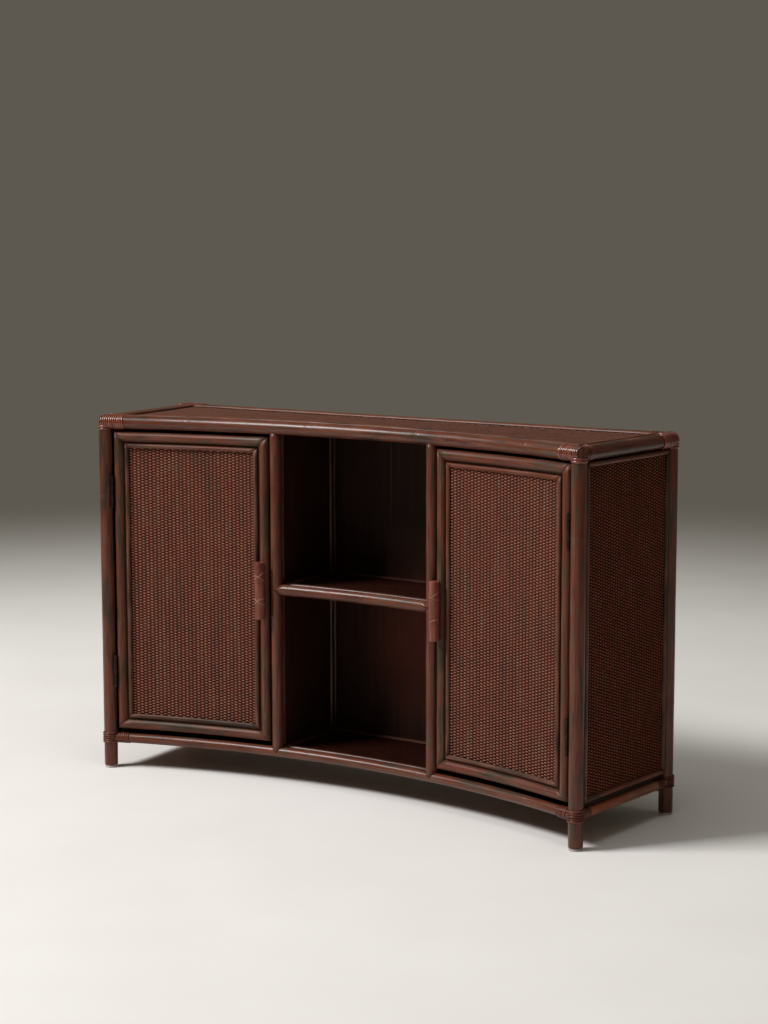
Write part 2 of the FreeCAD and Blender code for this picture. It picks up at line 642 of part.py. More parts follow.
def mitred_frame(stem, near, far, low, high, diameter, radius, sides):
    """Four poles round an opening on the bow, mitred at the corners: hinge, handle, top, bottom."""
    reach = f"4 * ({diameter})"
    corners = {
        ("hinge", "top"): (far, high, 225),
        ("hinge", "bottom"): (far, low, 135),
        ("handle", "top"): (near, high, 315),
        ("handle", "bottom"): (near, low, 45),
    }
    poles = {}
    for name, angle in (("hinge", far), ("handle", near)):
        x, y = on_bow(angle, radius)
        poles[name] = pole(f"{stem}_{name}_pole", spot(x, y, f"{low} - ({diameter}) / 2", f"-{angle}"),
                           diameter, f"{high} - {low} + ({diameter})", sides)
    over = f"({diameter})"
    for name, z in (("top", high), ("bottom", low)):
        poles[name] = bowed_rod(f"{stem}_{name}_pole", beyond(near, f"-{over}"), beyond(far, over), z,
                                diameter, DOOR_BENDS, radius, sides)
    frame = {}
    for name, blank in poles.items():
        blocks = []
        for corner, (angle, z, lean) in corners.items():
            if name in corner:
                turned = lean if name in ("hinge", "handle") else lean + 180
                label = f"{stem}_{name}_{'_'.join(corner)}_mitre"
                blocks.append(mitre_block(label, angle, z, radius, str(turned), reach))
        frame[name] = cut(f"{stem}_{name}", blank, blocks)
    return frame


door_frame = mitred_frame("door_frame", HANDLE_STILE, HINGE_STILE, DOOR_LOW_AXIS, DOOR_HIGH_AXIS,
                          "door_pole_diameter", BOW_RADIUS, POLE_SIDES)

# The panel and its mat fill the frame's opening.
INSIDE_FRAME = "(door_pole_diameter / 2 + fit_gap)"
opening = (beyond(HANDLE_STILE, INSIDE_FRAME), beyond(HINGE_STILE, f"-{INSIDE_FRAME}"))
heights = (f"({DOOR_LOW_AXIS} + {INSIDE_FRAME})", f"({DOOR_HIGH_AXIS} - {INSIDE_FRAME})")
for name, inner, outer in (("panel", SHEET_FRONT, SHEET_BACK), ("weave", MAT_FRONT, SHEET_FRONT)):
    pair(f"door_{name}", bowed_sheet(f"door_{name}_sheet", *opening, inner, outer, *heights))

# Mitred half-round beads lie on the mat, inside the frame.
BEAD_IN = "(door_pole_diameter / 2 + door_bead_gap + bead_diameter / 2)"
bead_frame = mitred_frame("door_bead", beyond(HANDLE_STILE, BEAD_IN), beyond(HINGE_STILE, f"-{BEAD_IN}"),
                          f"({DOOR_LOW_AXIS} + {BEAD_IN})", f"({DOOR_HIGH_AXIS} - {BEAD_IN})",
                          "bead_diameter", MAT_FRONT, BEAD_SIDES)
mat_drum = bow_drum("mat_drum", f"{MAT_FRONT} - fit_gap", DOOR_LOW, DOOR_HIGH)
pair("door_beads", grouped("door_bead_set", [kept_inside(f"door_bead_{name}_half", bead, mat_drum)
                                             for name, bead in bead_frame.items()]))

# Butt hinges: both leaves are sunk into the poles beside the gap. The pin is fast in the post's leaf.
PIVOT_ANGLE = beyond(POST_ANGLE, "-(post_diameter / 2 + door_gap_hinge / 2)")
PIVOT_X, PIVOT_Y = on_bow(PIVOT_ANGLE, f"{BOW_RADIUS} - hinge_forward")
LEAF_OUT = "(door_gap_hinge / 2 + hinge_leaf_sunk)"
LEAF_NEAR = "(hinge_forward - hinge_leaf_width / 2)"
KNUCKLE = "(hinge_length / 3)"
HINGES = {"lower": f"({DOOR_LOW} + hinge_inset)", "upper": f"({DOOR_HIGH} - hinge_inset)"}


def hinge_spot(z, u="0", v="0"):
    """The hinge's own frame: u towards the post, v to the back, on the pivot."""
    return chained(spot(PIVOT_X, PIVOT_Y, z, f"-{PIVOT_ANGLE}"), spot(u, v))


def hinge_leaf(label, side, middle, knuckles):
    """A leaf plate with a tab and a knuckle at each given height, holding the pin or bored for it."""
    plate_u = f"-{LEAF_OUT}" if side == "door" else f"{LEAF_OUT} - hinge_leaf_thickness"
    pieces = [box(f"{label}_plate", hinge_spot(f"{middle} - hinge_length / 2", plate_u, LEAF_NEAR),
                  "hinge_leaf_thickness", "hinge_leaf_width", "hinge_length")]
    for number, (low, high) in enumerate(knuckles):
        z, tall = f"{middle} + ({low})", f"({high}) - ({low})"
        pieces += [
            rod(f"{label}_knuckle_{number}", hinge_spot(z), "hinge_knuckle_diameter", tall),
            box(f"{label}_tab_{number}", hinge_spot(z, plate_u), "hinge_leaf_thickness", LEAF_NEAR, tall),
        ]
    if side == "post":
        pieces.append(rod(f"{label}_pin", hinge_spot(f"{middle} - hinge_length / 2"), "hinge_pin_diameter",
                          "hinge_length"))
        return joined(label, pieces)
    bore = rod(f"{label}_bore", hinge_spot(f"{middle} - hinge_length"),
               "hinge_pin_diameter + 2 * hinge_pin_clearance", "2 * hinge_length")
    return cut(label, joined(f"{label}_blank", pieces), [bore])


end_knuckles = [("-hinge_length / 2", f"-{KNUCKLE} / 2"), (f"{KNUCKLE} / 2", "hinge_length / 2")]
mid_knuckle = [(f"-{KNUCKLE} / 2 + hinge_knuckle_gap", f"{KNUCKLE} / 2 - hinge_knuckle_gap")]
post_leaves = [hinge_leaf(f"post_leaf_{name}", "post", z, end_knuckles) for name, z in HINGES.items()]
door_leaves = [hinge_leaf(f"door_leaf_{name}", "door", z, mid_knuckle) for name, z in HINGES.items()]
both_sides("hinge_post_leaves", post_leaves)
pair("door_hinge_leaves", grouped("door_leaf_set", door_leaves))
posts = {end: domed(f"post_{end}_pole", end, "glide_height", "post_diameter") for end in POSTS}
pair("post_front", cut("post_front_let_in", posts["front"], post_leaves))
pair("post_back", posts["back"])
pair("door_hinge_stile", cut("hinge_stile_let_in", door_frame["hinge"], door_leaves))
pair("door_handle_stile", door_frame["handle"])
pair("door_top_rail", door_frame["top"])
pair("door_bottom_rail", door_frame["bottom"])

# Pull handles: a bar before each handle stile, with a pad behind each end, and two pairs of
# strips that go once round it and cross in front, the left-hand one over the right-hand one.
tied = size("handle_diameter")
under_ties = (tied / 2 + size("binding_clearance")) / math.cos(math.pi / STATIONS_PER_TURN)
over_tied = 2 * (under_ties + size("tie_thickness"))
HANDLE_BOUND = bound_diameter(f"{over_tied:.4f}", "tie")
HANDLE_OFF = f"(door_pole_diameter / 2 + {HANDLE_BOUND} / 2 + 2 * fit_gap)"
handle_x, handle_y = on_bow(HANDLE_STILE, f"{BOW_RADIUS} - {HANDLE_OFF}")
HANDLE_LOW = "(handle_height - handle_length / 2)"
handle = [pole("handle_bar", spot(handle_x, handle_y, HANDLE_LOW, f"-{HANDLE_STILE}"), "handle_diameter",
               "handle_length")]
for end, z in (("low", HANDLE_LOW), ("high", f"{HANDLE_LOW} + handle_length - handle_pad_length")):
    place = chained(spot(handle_x, handle_y, z, f"-{HANDLE_STILE}"), spot("-handle_diameter / 4"))
    handle.append(box(f"handle_pad_{end}", place, "handle_diameter / 2",
                      f"{HANDLE_OFF} - door_pole_diameter / 2 - fit_gap", "handle_pad_length"))
pair("door_handle", joined("handle_bar_padded", handle))
ties = []
for end, sign in (("low", "-"), ("high", "+")):
    place = spot(handle_x, handle_y, f"handle_height {sign} handle_tie_spacing / 2",
                 f"90 deg - {HANDLE_STILE}")
    for layer, across, hand in (("under", tied, 1), ("over", over_tied, -1)):
        ties.append(winding(f"handle_tie_{end}_{layer}", place, across, "tie", size("tie_turns"),
                            crowned=False, hand=hand))
pair("door_handle_ties", grouped("handle_ties", ties))

# Magnetic catches on the inner shelves hold plates on the backs of the doors.
CATCH_ANGLE = beyond(DIVIDER_ANGLE, "catch_from_divider")
CATCH_FRONT = f"({SHEET_BACK} + catch_plate_thickness + catch_gap)"
catch_frame = spot("0", BOW_CENTRE, SHELF_TOP, f"-{CATCH_ANGLE}")
catch = box("catch", chained(catch_frame, spot("-catch_width / 2", CATCH_FRONT)),
            "catch_width", "catch_depth", "catch_height")
both_sides("magnet_catches", [catch])
pair("door_catch_plate", box("catch_plate", chained(catch_frame, spot("-catch_width / 2", SHEET_BACK)),
                             "catch_width", "catch_plate_thickness", "catch_height"))

# Clear glides under the posts.
glides = []
for end, (x, y) in POSTS.items():
    glides.append(pole(f"glide_{end}", spot(x, y), "glide_diameter", "glide_height"))
both_sides("foot_glides", glides)

doc.recompute()
for thing in doc.Objects:
    if "Invalid" in thing.State or "Error" in thing.State:
        raise RuntimeError(f"{thing.Label}: {thing.State}")
for thing in nodes:
    shape = thing.Shape
    if shape.isNull() or not shape.isValid() or not shape.Solids:
        raise RuntimeError(f"{thing.Label}: bad shape")
    shape.exportStep(f"parts/{thing.Label}.step")
print(f"{len(nodes)} nodes")
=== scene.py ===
"""Looks of the rattan sideboard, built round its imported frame. Metres: X right, Y back, Z up.

Each cane, mat, bead and binding is a surface worked out as whole arrays: a shape in its own
coordinates (along, across, across) that a placing function then lays on a post, on a side or on the
bowed front.
"""
import itertools
import math

import bpy
import numpy as np
from mathutils import Matrix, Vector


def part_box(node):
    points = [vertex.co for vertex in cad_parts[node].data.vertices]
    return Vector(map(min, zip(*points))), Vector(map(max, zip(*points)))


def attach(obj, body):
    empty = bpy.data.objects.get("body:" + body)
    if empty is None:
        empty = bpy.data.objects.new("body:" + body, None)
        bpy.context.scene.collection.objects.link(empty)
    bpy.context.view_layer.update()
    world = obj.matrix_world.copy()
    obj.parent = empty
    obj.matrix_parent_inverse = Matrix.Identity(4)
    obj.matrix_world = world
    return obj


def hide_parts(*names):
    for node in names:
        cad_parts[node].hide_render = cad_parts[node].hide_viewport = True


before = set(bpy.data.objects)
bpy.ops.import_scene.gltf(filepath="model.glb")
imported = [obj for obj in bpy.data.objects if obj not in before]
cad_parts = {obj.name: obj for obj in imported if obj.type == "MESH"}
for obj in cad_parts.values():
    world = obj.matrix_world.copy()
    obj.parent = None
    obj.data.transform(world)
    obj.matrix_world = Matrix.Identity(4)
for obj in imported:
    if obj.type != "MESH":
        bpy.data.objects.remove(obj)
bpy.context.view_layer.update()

MM = 0.001
TURN = 2 * math.pi
SIDES = (("right", 1), ("left", -1))
HANDS = (1, -1)

# Each shape draws its random numbers from the next of these seeds.
seed = itertools.count(1)


def middle(node):
    """The middle of a CAD node's box."""
    low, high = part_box(node)
    return (low + high) / 2


def extent(node):
    """The lengths of a CAD node's box."""
    low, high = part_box(node)
    return high - low


# Places read from the frame.
FRONT_POST = middle("post_front_right")
BACK_POST = middle("post_back_right")
BACK_SPAN = 2 * BACK_POST.x
POST_RADIUS = extent("post_back_right").x / 2
GLIDE_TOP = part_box("foot_glides")[1].z
TOP_Z = middle("top_rail_front").z
TOP_RADIUS = extent("top_rail_front").z / 2
LOWER_Z = middle("lower_rail_front").z
LOWER_RADIUS = extent("lower_rail_front").z / 2
SHELF_Z = middle("shelf_rail").z
SHELF_RADIUS = extent("shelf_rail").z / 2
DIVIDER = middle("divider_post_right")
DIVIDER_RADIUS = 12 * MM
DOOR_LOW_Z = middle("door_bottom_rail_right").z
DOOR_HIGH_Z = middle("door_top_rail_right").z
DOOR_RADIUS = extent("door_top_rail_right").z / 2
BACK_BOARD_Y = middle("back_panel").y
BEAD_RADIUS = 5 * MM
MAT_THICKNESS = 3 * MM

# The bow: a circle through both front posts and the middle of the lower front rail.
BOW_MIDDLE_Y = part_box("lower_rail_front")[1].y - LOWER_RADIUS
BOW_DEPTH = BOW_MIDDLE_Y - FRONT_POST.y
BOW_RADIUS = (FRONT_POST.x ** 2 + BOW_DEPTH ** 2) / (2 * BOW_DEPTH)
BOW_CENTRE_Y = BOW_MIDDLE_Y - BOW_RADIUS


def arc_of(point):
    """Length of arc along the bow from its middle to a plan point."""
    return BOW_RADIUS * math.atan2(point.x, point.y - BOW_CENTRE_Y)


POST_ARC = arc_of(FRONT_POST)
DIVIDER_ARC = arc_of(DIVIDER)
HINGE_ARC = arc_of(middle("door_hinge_stile_right"))
HANDLE_ARC = arc_of(middle("door_handle_stile_right"))
SIDE_LENGTH = math.hypot(BACK_POST.x - FRONT_POST.x, BACK_POST.y - FRONT_POST.y)

# A cane's unevenness, as shares of its radius: an oval, two slow waves, and grooved swellings at joints.
OVAL, OVAL_TWIST = 0.010, 3
LONG_WAVE, LONG_WAVE_RATE = 0.008, 21
SHORT_WAVE, SHORT_WAVE_RATE = 0.005, 57
JOINT_SWELL, JOINT_HALF = 0.022, 3.2
JOINT_GROOVE, GROOVE_HALF = 0.030, 0.8
JOINT_STEPS = np.array([-6, -3, -1.5, -0.6, 0, 0.6, 1.5, 3, 6]) * MM
POLE_SIDES = 24
POLE_STEP = 14 * MM
ROUNDING_STEPS = 5
BEAD_SIDES = 18
BEAD_BACK = 0.15
CANE_RELIEF, SWELL_RELIEF, END_RELIEF = 0.75, 8, 0.3
GRAIN_SHIFT = 4
TURNED_SIDES = 32

# A strip of peel's section: places from edge to edge over its crown, then back along its underside.
PEEL_ACROSS = np.array([-1, -0.62, 0, 0.62, 1, 0.6, -0.6])
PEEL_UPPER = np.array([1, 1, 1, 1, 1, 0, 0])
PEEL_ROUND, PEEL_EDGE_WEAR = 0.7, 0.75
PEEL_SINK, PEEL_EDGE = 0.35 * MM, 0.25 * MM
PEEL_SWAY, SWAYS_PER_TURN = 0.06, 2.3
TUCKS_PER_TURN = 6
BALL_END = 0.95
SECTIONS_PER_TURN = 20

# The weave: upright spokes with thin strands woven over and under them. Sections are in millimetres.
SPOKE_PITCH = 9.2 * MM
STRAND_PITCH = 3.125 * MM
STEPS_PER_SPOKE = 4
SPOKE_STATIONS = 33
STRAND_HALF, STRAND_SWELL = 1.15, 1.05
STRAND_MEAN, STRAND_RISE, STRAND_CROWN, DIVING_CROWN = 1.15, 0.95, 0.75, 0.4
STRAND_DRIFT, DRIFT_RATE = 0.18, 0.9
BUMP_POWER = 0.75
VIGOUR_SPREAD = 0.07
SPOT_TONE, ROW_TONE = 0.45, 0.55
SPOKE_HALF, SPOKE_EDGE, SPOKE_CROWN = 2.6, 0.15, 1.25
SPOKE_RELIEF, SPOKE_CROWN_RELIEF = 0.12, 0.2

# The mats' map, in shares: rows of bands for the spokes and the strands, and each band's own parts.
SPOKE_ROWS, STRAND_ROWS = (0.0, 0.1), (0.1, 1.0)
BAND_MARGIN, BAND_FACE, BAND_CAP = 0.05, 0.3, 0.1


class Surface:
    """Points with quads, triangles, values at the points and, for a mat, a map of its face corners."""

    def __init__(self, points, quads, triangles, values, quad_map=None, triangle_map=None):
        self.points = points
        self.quads = quads
        self.triangles = triangles
        self.values = values
        self.quad_map = quad_map
        self.triangle_map = triangle_map


def faced_out(surface):
    """The closed surface with its faces turned outwards, by the sign of its volume."""
    p = surface.points
    halves = [surface.quads[:, [0, 1, 2]], surface.quads[:, [0, 2, 3]], surface.triangles]
    corners = p[np.concatenate(halves)]
    volume = np.einsum("ij,ij->i", corners[:, 0], np.cross(corners[:, 1], corners[:, 2])).sum()
    if volume < 0:
        surface.quads = surface.quads[:, ::-1]
        surface.triangles = surface.triangles[:, ::-1]
        if surface.quad_map is not None:
            surface.quad_map = surface.quad_map[:, ::-1]
            surface.triangle_map = surface.triangle_map[:, ::-1]
    return surface


def together(surfaces):
    """Several surfaces as one, with their faces renumbered."""
    firsts = np.cumsum([0] + [len(s.points) for s in surfaces[:-1]])
    mapped = all(s.quad_map is not None for s in surfaces)
    return Surface(
        np.concatenate([s.points for s in surfaces]),
        np.concatenate([s.quads + first for s, first in zip(surfaces, firsts)]),
        np.concatenate([s.triangles + first for s, first in zip(surfaces, firsts)]),
        {name: np.concatenate([s.values[name] for s in surfaces]) for name in surfaces[0].values},
        np.concatenate([s.quad_map for s in surfaces]) if mapped else None,
        np.concatenate([s.triangle_map for s in surfaces]) if mapped else None,
    )


def tube_faces(rings, sides):
    """Quads of a tube whose rings are closed, one row of points for each ring."""
    ring = np.arange(rings - 1)[:, None] * sides
    side = np.arange(sides)[None, :]
    near = ring + side
    following = ring + (side + 1) % sides
    return np.stack([near, following, following + sides, near + sides], axis=-1).reshape(-1, 4)


def capped_tube(points, grain, relief):
    """A closed tube from rings of points: the rings' walls, and a fan on a middle point at each end."""
    rings, sides = points.shape[:2]
    ends = np.stack([points[0].mean(axis=0), points[-1].mean(axis=0)])
    end_grain = np.stack([grain[0].mean(axis=0), grain[-1].mean(axis=0)])
    side = np.arange(sides)
    following = (side + 1) % sides
    first, last = rings * sides, rings * sides + 1
    start_fan = np.stack([np.full(sides, first), following, side], axis=-1)
    top = (rings - 1) * sides
    end_fan = np.stack([np.full(sides, last), top + side, top + following], axis=-1)
    return faced_out(Surface(
        np.concatenate([points.reshape(-1, 3), ends]),
        tube_faces(rings, sides),
        np.concatenate([start_fan, end_fan]),
        {
            "grain": np.concatenate([grain.reshape(-1, 3), end_grain]),
            "relief": np.concatenate([relief.reshape(-1), [END_RELIEF, END_RELIEF]]),
        },
    ))


# Placing functions. Each takes (along, a, b), where a, b and along are a right-handed set.
def upright(x, y, turn=0.0):
    """A post's place: along is Z, and a points at an angle from X in plan."""
    def place(along, a, b):
        return np.stack([x + a * math.cos(turn) - b * math.sin(turn),
                         y + a * math.sin(turn) + b * math.cos(turn),
                         along + 0 * a], axis=-1)
    return place


def on_bow(z, radius=BOW_RADIUS):
    """A bent pole's place: along is arc length to the right, a points to the back and b up."""
    def place(along, a, b):
        angle = along / BOW_RADIUS
        return np.stack([(radius + a) * np.sin(angle),
                         BOW_CENTRE_Y + (radius + a) * np.cos(angle),
                         z + b], axis=-1)
    return place


def lying(start, end, z):
    """A straight level pole's place, from a plan point towards another: a points to the left, b up."""
    reach = math.hypot(end[0] - start[0], end[1] - start[1])
    east, north = (end[0] - start[0]) / reach, (end[1] - start[1]) / reach

    def place(along, a, b):
        return np.stack([start[0] + along * east - a * north,
                         start[1] + along * north + a * east,
                         z + b], axis=-1)
    return place


def side_rail_place(hand, z):
    """Along a side from post to post, with a pointing outwards; hand is 1 on the right, -1 on the left."""
    front = (hand * FRONT_POST.x, FRONT_POST.y)
    back = (hand * BACK_POST.x, BACK_POST.y)
    return lying(back, front, z) if hand > 0 else lying(front, back, z)


def across_back(x, y, z):
    """A level pole's place from left to right at a depth, as far to both sides of the middle."""
    return lying((-x, y), (x, y), z)


def shifted(place, a=0.0, b=0.0):
    """A place moved across itself."""
    def moved(along, across_a, across_b):
        return place(along, a + across_a, b + across_b)
    return moved


# Shapes.
def pole(place, start, end, radius, start_cut=None, end_cut=None, joints=(), rounding=0.0, flat=None,
         sides=POLE_SIDES):
    """A cane: a circle carried along a line, with radius * (1 + oval + waves + joints) at each point.

    The oval is a cosine of twice the angle, the waves are two slow sines along the cane, and each
    joint is a narrow swelling with a groove in it. A cut gives, for each point across, how far its
    line is moved along the cane at that end. The ends may be rounded over a short length. With flat,
    an angle, the circle is cut off just behind its middle, so a half-round bead faces that angle.
    """
    random = np.random.default_rng(next(seed))
    count = max(2, round((end - start) / POLE_STEP) + 1)
    steps = [np.linspace(start, end, count)] + [joint + JOINT_STEPS for joint in joints]
    if rounding:
        share = 1 - np.cos(np.linspace(0, math.pi / 2, ROUNDING_STEPS))
        steps += [start + rounding * share, end - rounding * share]
    line = np.unique(np.clip(np.concatenate(steps), start, end).round(6))
    along, angle = np.meshgrid(line, np.linspace(0, TURN, sides, endpoint=False), indexing="ij")
    phase = random.uniform(0, TURN, 4)
    swell = OVAL * np.cos(2 * angle + phase[0] + OVAL_TWIST * along)
    swell += (LONG_WAVE * np.sin(LONG_WAVE_RATE * along + phase[1])
              + SHORT_WAVE * np.sin(SHORT_WAVE_RATE * along + phase[2] + angle))
    for joint in joints:
        off = (along - joint) / MM
        swell += (JOINT_SWELL * np.exp(-(off / JOINT_HALF) ** 2)
                  - JOINT_GROOVE * np.exp(-(off / GROOVE_HALF) ** 2))
    size = radius * (1 + swell)
    if rounding:
        inside = np.clip(np.minimum(along - start, end - along) / rounding, 0, 1)
        size = size - rounding * (1 - np.sqrt(1 - (1 - inside) ** 2))
    a, b = size * np.cos(angle), size * np.sin(angle)
    if flat is not None:
        depth = a * math.cos(flat) + b * math.sin(flat)
        lift = np.maximum(depth, -BEAD_BACK * radius) - depth
        a, b = a + lift * math.cos(flat), b + lift * math.sin(flat)
    share = (along - start) / (end - start)
    moved = along.copy()
    if start_cut:
        moved = moved + (1 - share) * start_cut(a, b)
    if end_cut:
        moved = moved + share * end_cut(a, b)
    grain = np.stack([a, b, along], axis=-1) + random.uniform(-GRAIN_SHIFT, GRAIN_SHIFT, 3)
    relief = CANE_RELIEF + SWELL_RELIEF * swell
    return capped_tube(place(moved, a, b), grain, relief)


def wound_peel(place, centre, turns, pitch, width, thickness, radius, hand=1, phase=0.0, ball=None):
    """One unbroken strip of peel wound on a pole: a crowned section carried along a helix.

    After t turns the section stands at the angle phase + hand * t turns, at centre + pitch * (t -
    turns / 2). Across it, v from -1 to 1, it is width * v / 2 further along the pole, and its top is
    thickness * (1 - 0.7 v^2) above the pole. Its underside is just inside the pole, and both ends
    dive into the pole over a sixth of a turn. With ball, two places along the pole, it ends there in
    balls of its own radius.
    """
    random = np.random.default_rng(next(seed))
    t = np.linspace(0, turns, round(turns * SECTIONS_PER_TURN) + 1)
    t_grid, v = np.meshgrid(t, PEEL_ACROSS, indexing="ij")
    tuck = np.clip(np.minimum(t_grid, turns - t_grid) * TUCKS_PER_TURN, 0, 1)
    crown = thickness * (1 - PEEL_ROUND * v ** 2) * PEEL_UPPER * tuck
    sway = PEEL_SWAY * pitch * np.sin(SWAYS_PER_TURN * TURN * t_grid + random.uniform(0, TURN))
    angle = phase + hand * TURN * t_grid
    along = centre + pitch * (t_grid - turns / 2) + sway + v * width / 2
    core = radius + 0 * along
    if ball is not None:
        past = np.clip(np.maximum(ball[0] - along, along - ball[1]), 0, BALL_END * radius)
        core = np.sqrt(radius ** 2 - past ** 2)
    size = core - PEEL_SINK + crown + PEEL_EDGE * PEEL_UPPER * tuck
    points = place(along, size * np.cos(angle), size * np.sin(angle))
    grain = (np.stack([v * width, 0 * v, t_grid * TURN * radius], axis=-1)
             + random.uniform(-GRAIN_SHIFT, GRAIN_SHIFT, 3))
    relief = np.where(PEEL_UPPER > 0, 1 - PEEL_EDGE_WEAR * v ** 2, 0) * tuck
    return capped_tube(points, grain, relief)


def ring_band(place, centre, width, thickness, radius):
    """A closed band of peel round a pole: a crowned section carried round a full circle."""
    random = np.random.default_rng(next(seed))
    turn = np.linspace(0, TURN, 2 * SECTIONS_PER_TURN, endpoint=False)
    angle, v = np.meshgrid(turn, PEEL_ACROSS, indexing="ij")
    size = radius - PEEL_SINK + (thickness * (1 - PEEL_ROUND * v ** 2) + PEEL_EDGE) * PEEL_UPPER
    points = place(centre + v * width / 2, size * np.cos(angle), size * np.sin(angle))
    grain = (np.stack([v * width, 0 * v, radius * angle], axis=-1)
             + random.uniform(-GRAIN_SHIFT, GRAIN_SHIFT, 3))
    relief = np.where(PEEL_UPPER > 0, 1 - PEEL_EDGE_WEAR * v ** 2, 0)
    sides = len(PEEL_ACROSS)
    quads = tube_faces(len(turn) + 1, sides) % (len(turn) * sides)
    return faced_out(Surface(points.reshape(-1, 3), quads, np.zeros((0, 3), int),
                             {"grain": grain.reshape(-1, 3), "relief": relief.reshape(-1)}))


def turned(x, y, heights, radii):
    """A turned piece: radius against height, carried round an upright axis, closed at both ends."""
    angles = np.linspace(0, TURN, TURNED_SIDES, endpoint=False)
    height, angle = np.meshgrid(heights, angles, indexing="ij")
    size = np.repeat(np.array(radii)[:, None], TURNED_SIDES, axis=1)
    points = upright(x, y)(height, size * np.cos(angle), size * np.sin(angle))
    return capped_tube(points, points, np.ones(height.shape))


def strips(place, along, across, height, value, relief, kept, map_rows):
    """Closed strips with three-cornered sections, one strip for each first index of the arrays.

    The arrays hold, for each strip, station and corner (one edge, crown, other edge), where the corner
    is. kept says which lengths between stations are there; an open end is closed by a triangle.
    map_rows gives the lowest and highest place of the strips on the mat's map, one band for each.
    """
    count, stations = along.shape[:2]
    points = place(along, across, height).reshape(-1, 3)
    strip = np.arange(count)[:, None, None] * stations * 3
    station = np.arange(stations - 1)[None, :, None] * 3
    corner = np.arange(3)[None, None, :]
    near = strip + station + corner
    following = strip + station + (corner + 1) % 3
    quads = np.stack([near, following, following + 3, near + 3], axis=-1)
    low, high = map_rows
    band = (high - low) / count
    u = np.arange(stations - 1)[None, :, None] / (stations - 1) + 0 * near
    v = low + band * (np.arange(count)[:, None, None] + BAND_MARGIN + BAND_FACE * corner) + 0 * u
    step, rise = 1 / (stations - 1), BAND_FACE * band
    quad_map = np.stack([np.stack([u, v], -1), np.stack([u, v + rise], -1),
                         np.stack([u + step, v + rise], -1), np.stack([u + step, v], -1)], axis=-2)
    edge = np.diff(np.pad(kept.astype(int), ((0, 0), (1, 1))), axis=1)
    rows, opens = np.nonzero(edge > 0)
    first = (rows * stations + opens) * 3
    rows_end, shuts = np.nonzero(edge < 0)
    last = (rows_end * stations + shuts) * 3
    triangles = np.concatenate([np.stack([first, first + 2, first + 1], -1),
                                np.stack([last, last + 1, last + 2], -1)])
    at = np.concatenate([np.stack([opens, rows], -1), np.stack([shuts, rows_end], -1)])
    spot = np.stack([at[:, 0] / (stations - 1), low + band * (at[:, 1] + 0.5)], -1)
    triangle_map = np.repeat(spot[:, None, :], 3, axis=1)
    triangle_map[:, 1, 1] += BAND_CAP * band
    triangle_map[:, 2, 0] += BAND_CAP * step
    kept_quads = kept[:, :, None] & np.ones(3, bool)
    quads, quad_map = quads[kept_quads], quad_map[kept_quads]
    used, inverse = np.unique(np.concatenate([quads.ravel(), triangles.ravel()]), return_inverse=True)
    values = {"strand": value.reshape(-1)[used], "relief": relief.reshape(-1)[used]}
    return faced_out(Surface(points[used], inverse[:quads.size].reshape(-1, 4),
                             inverse[quads.size:].reshape(-1, 3), values, quad_map, triangle_map))


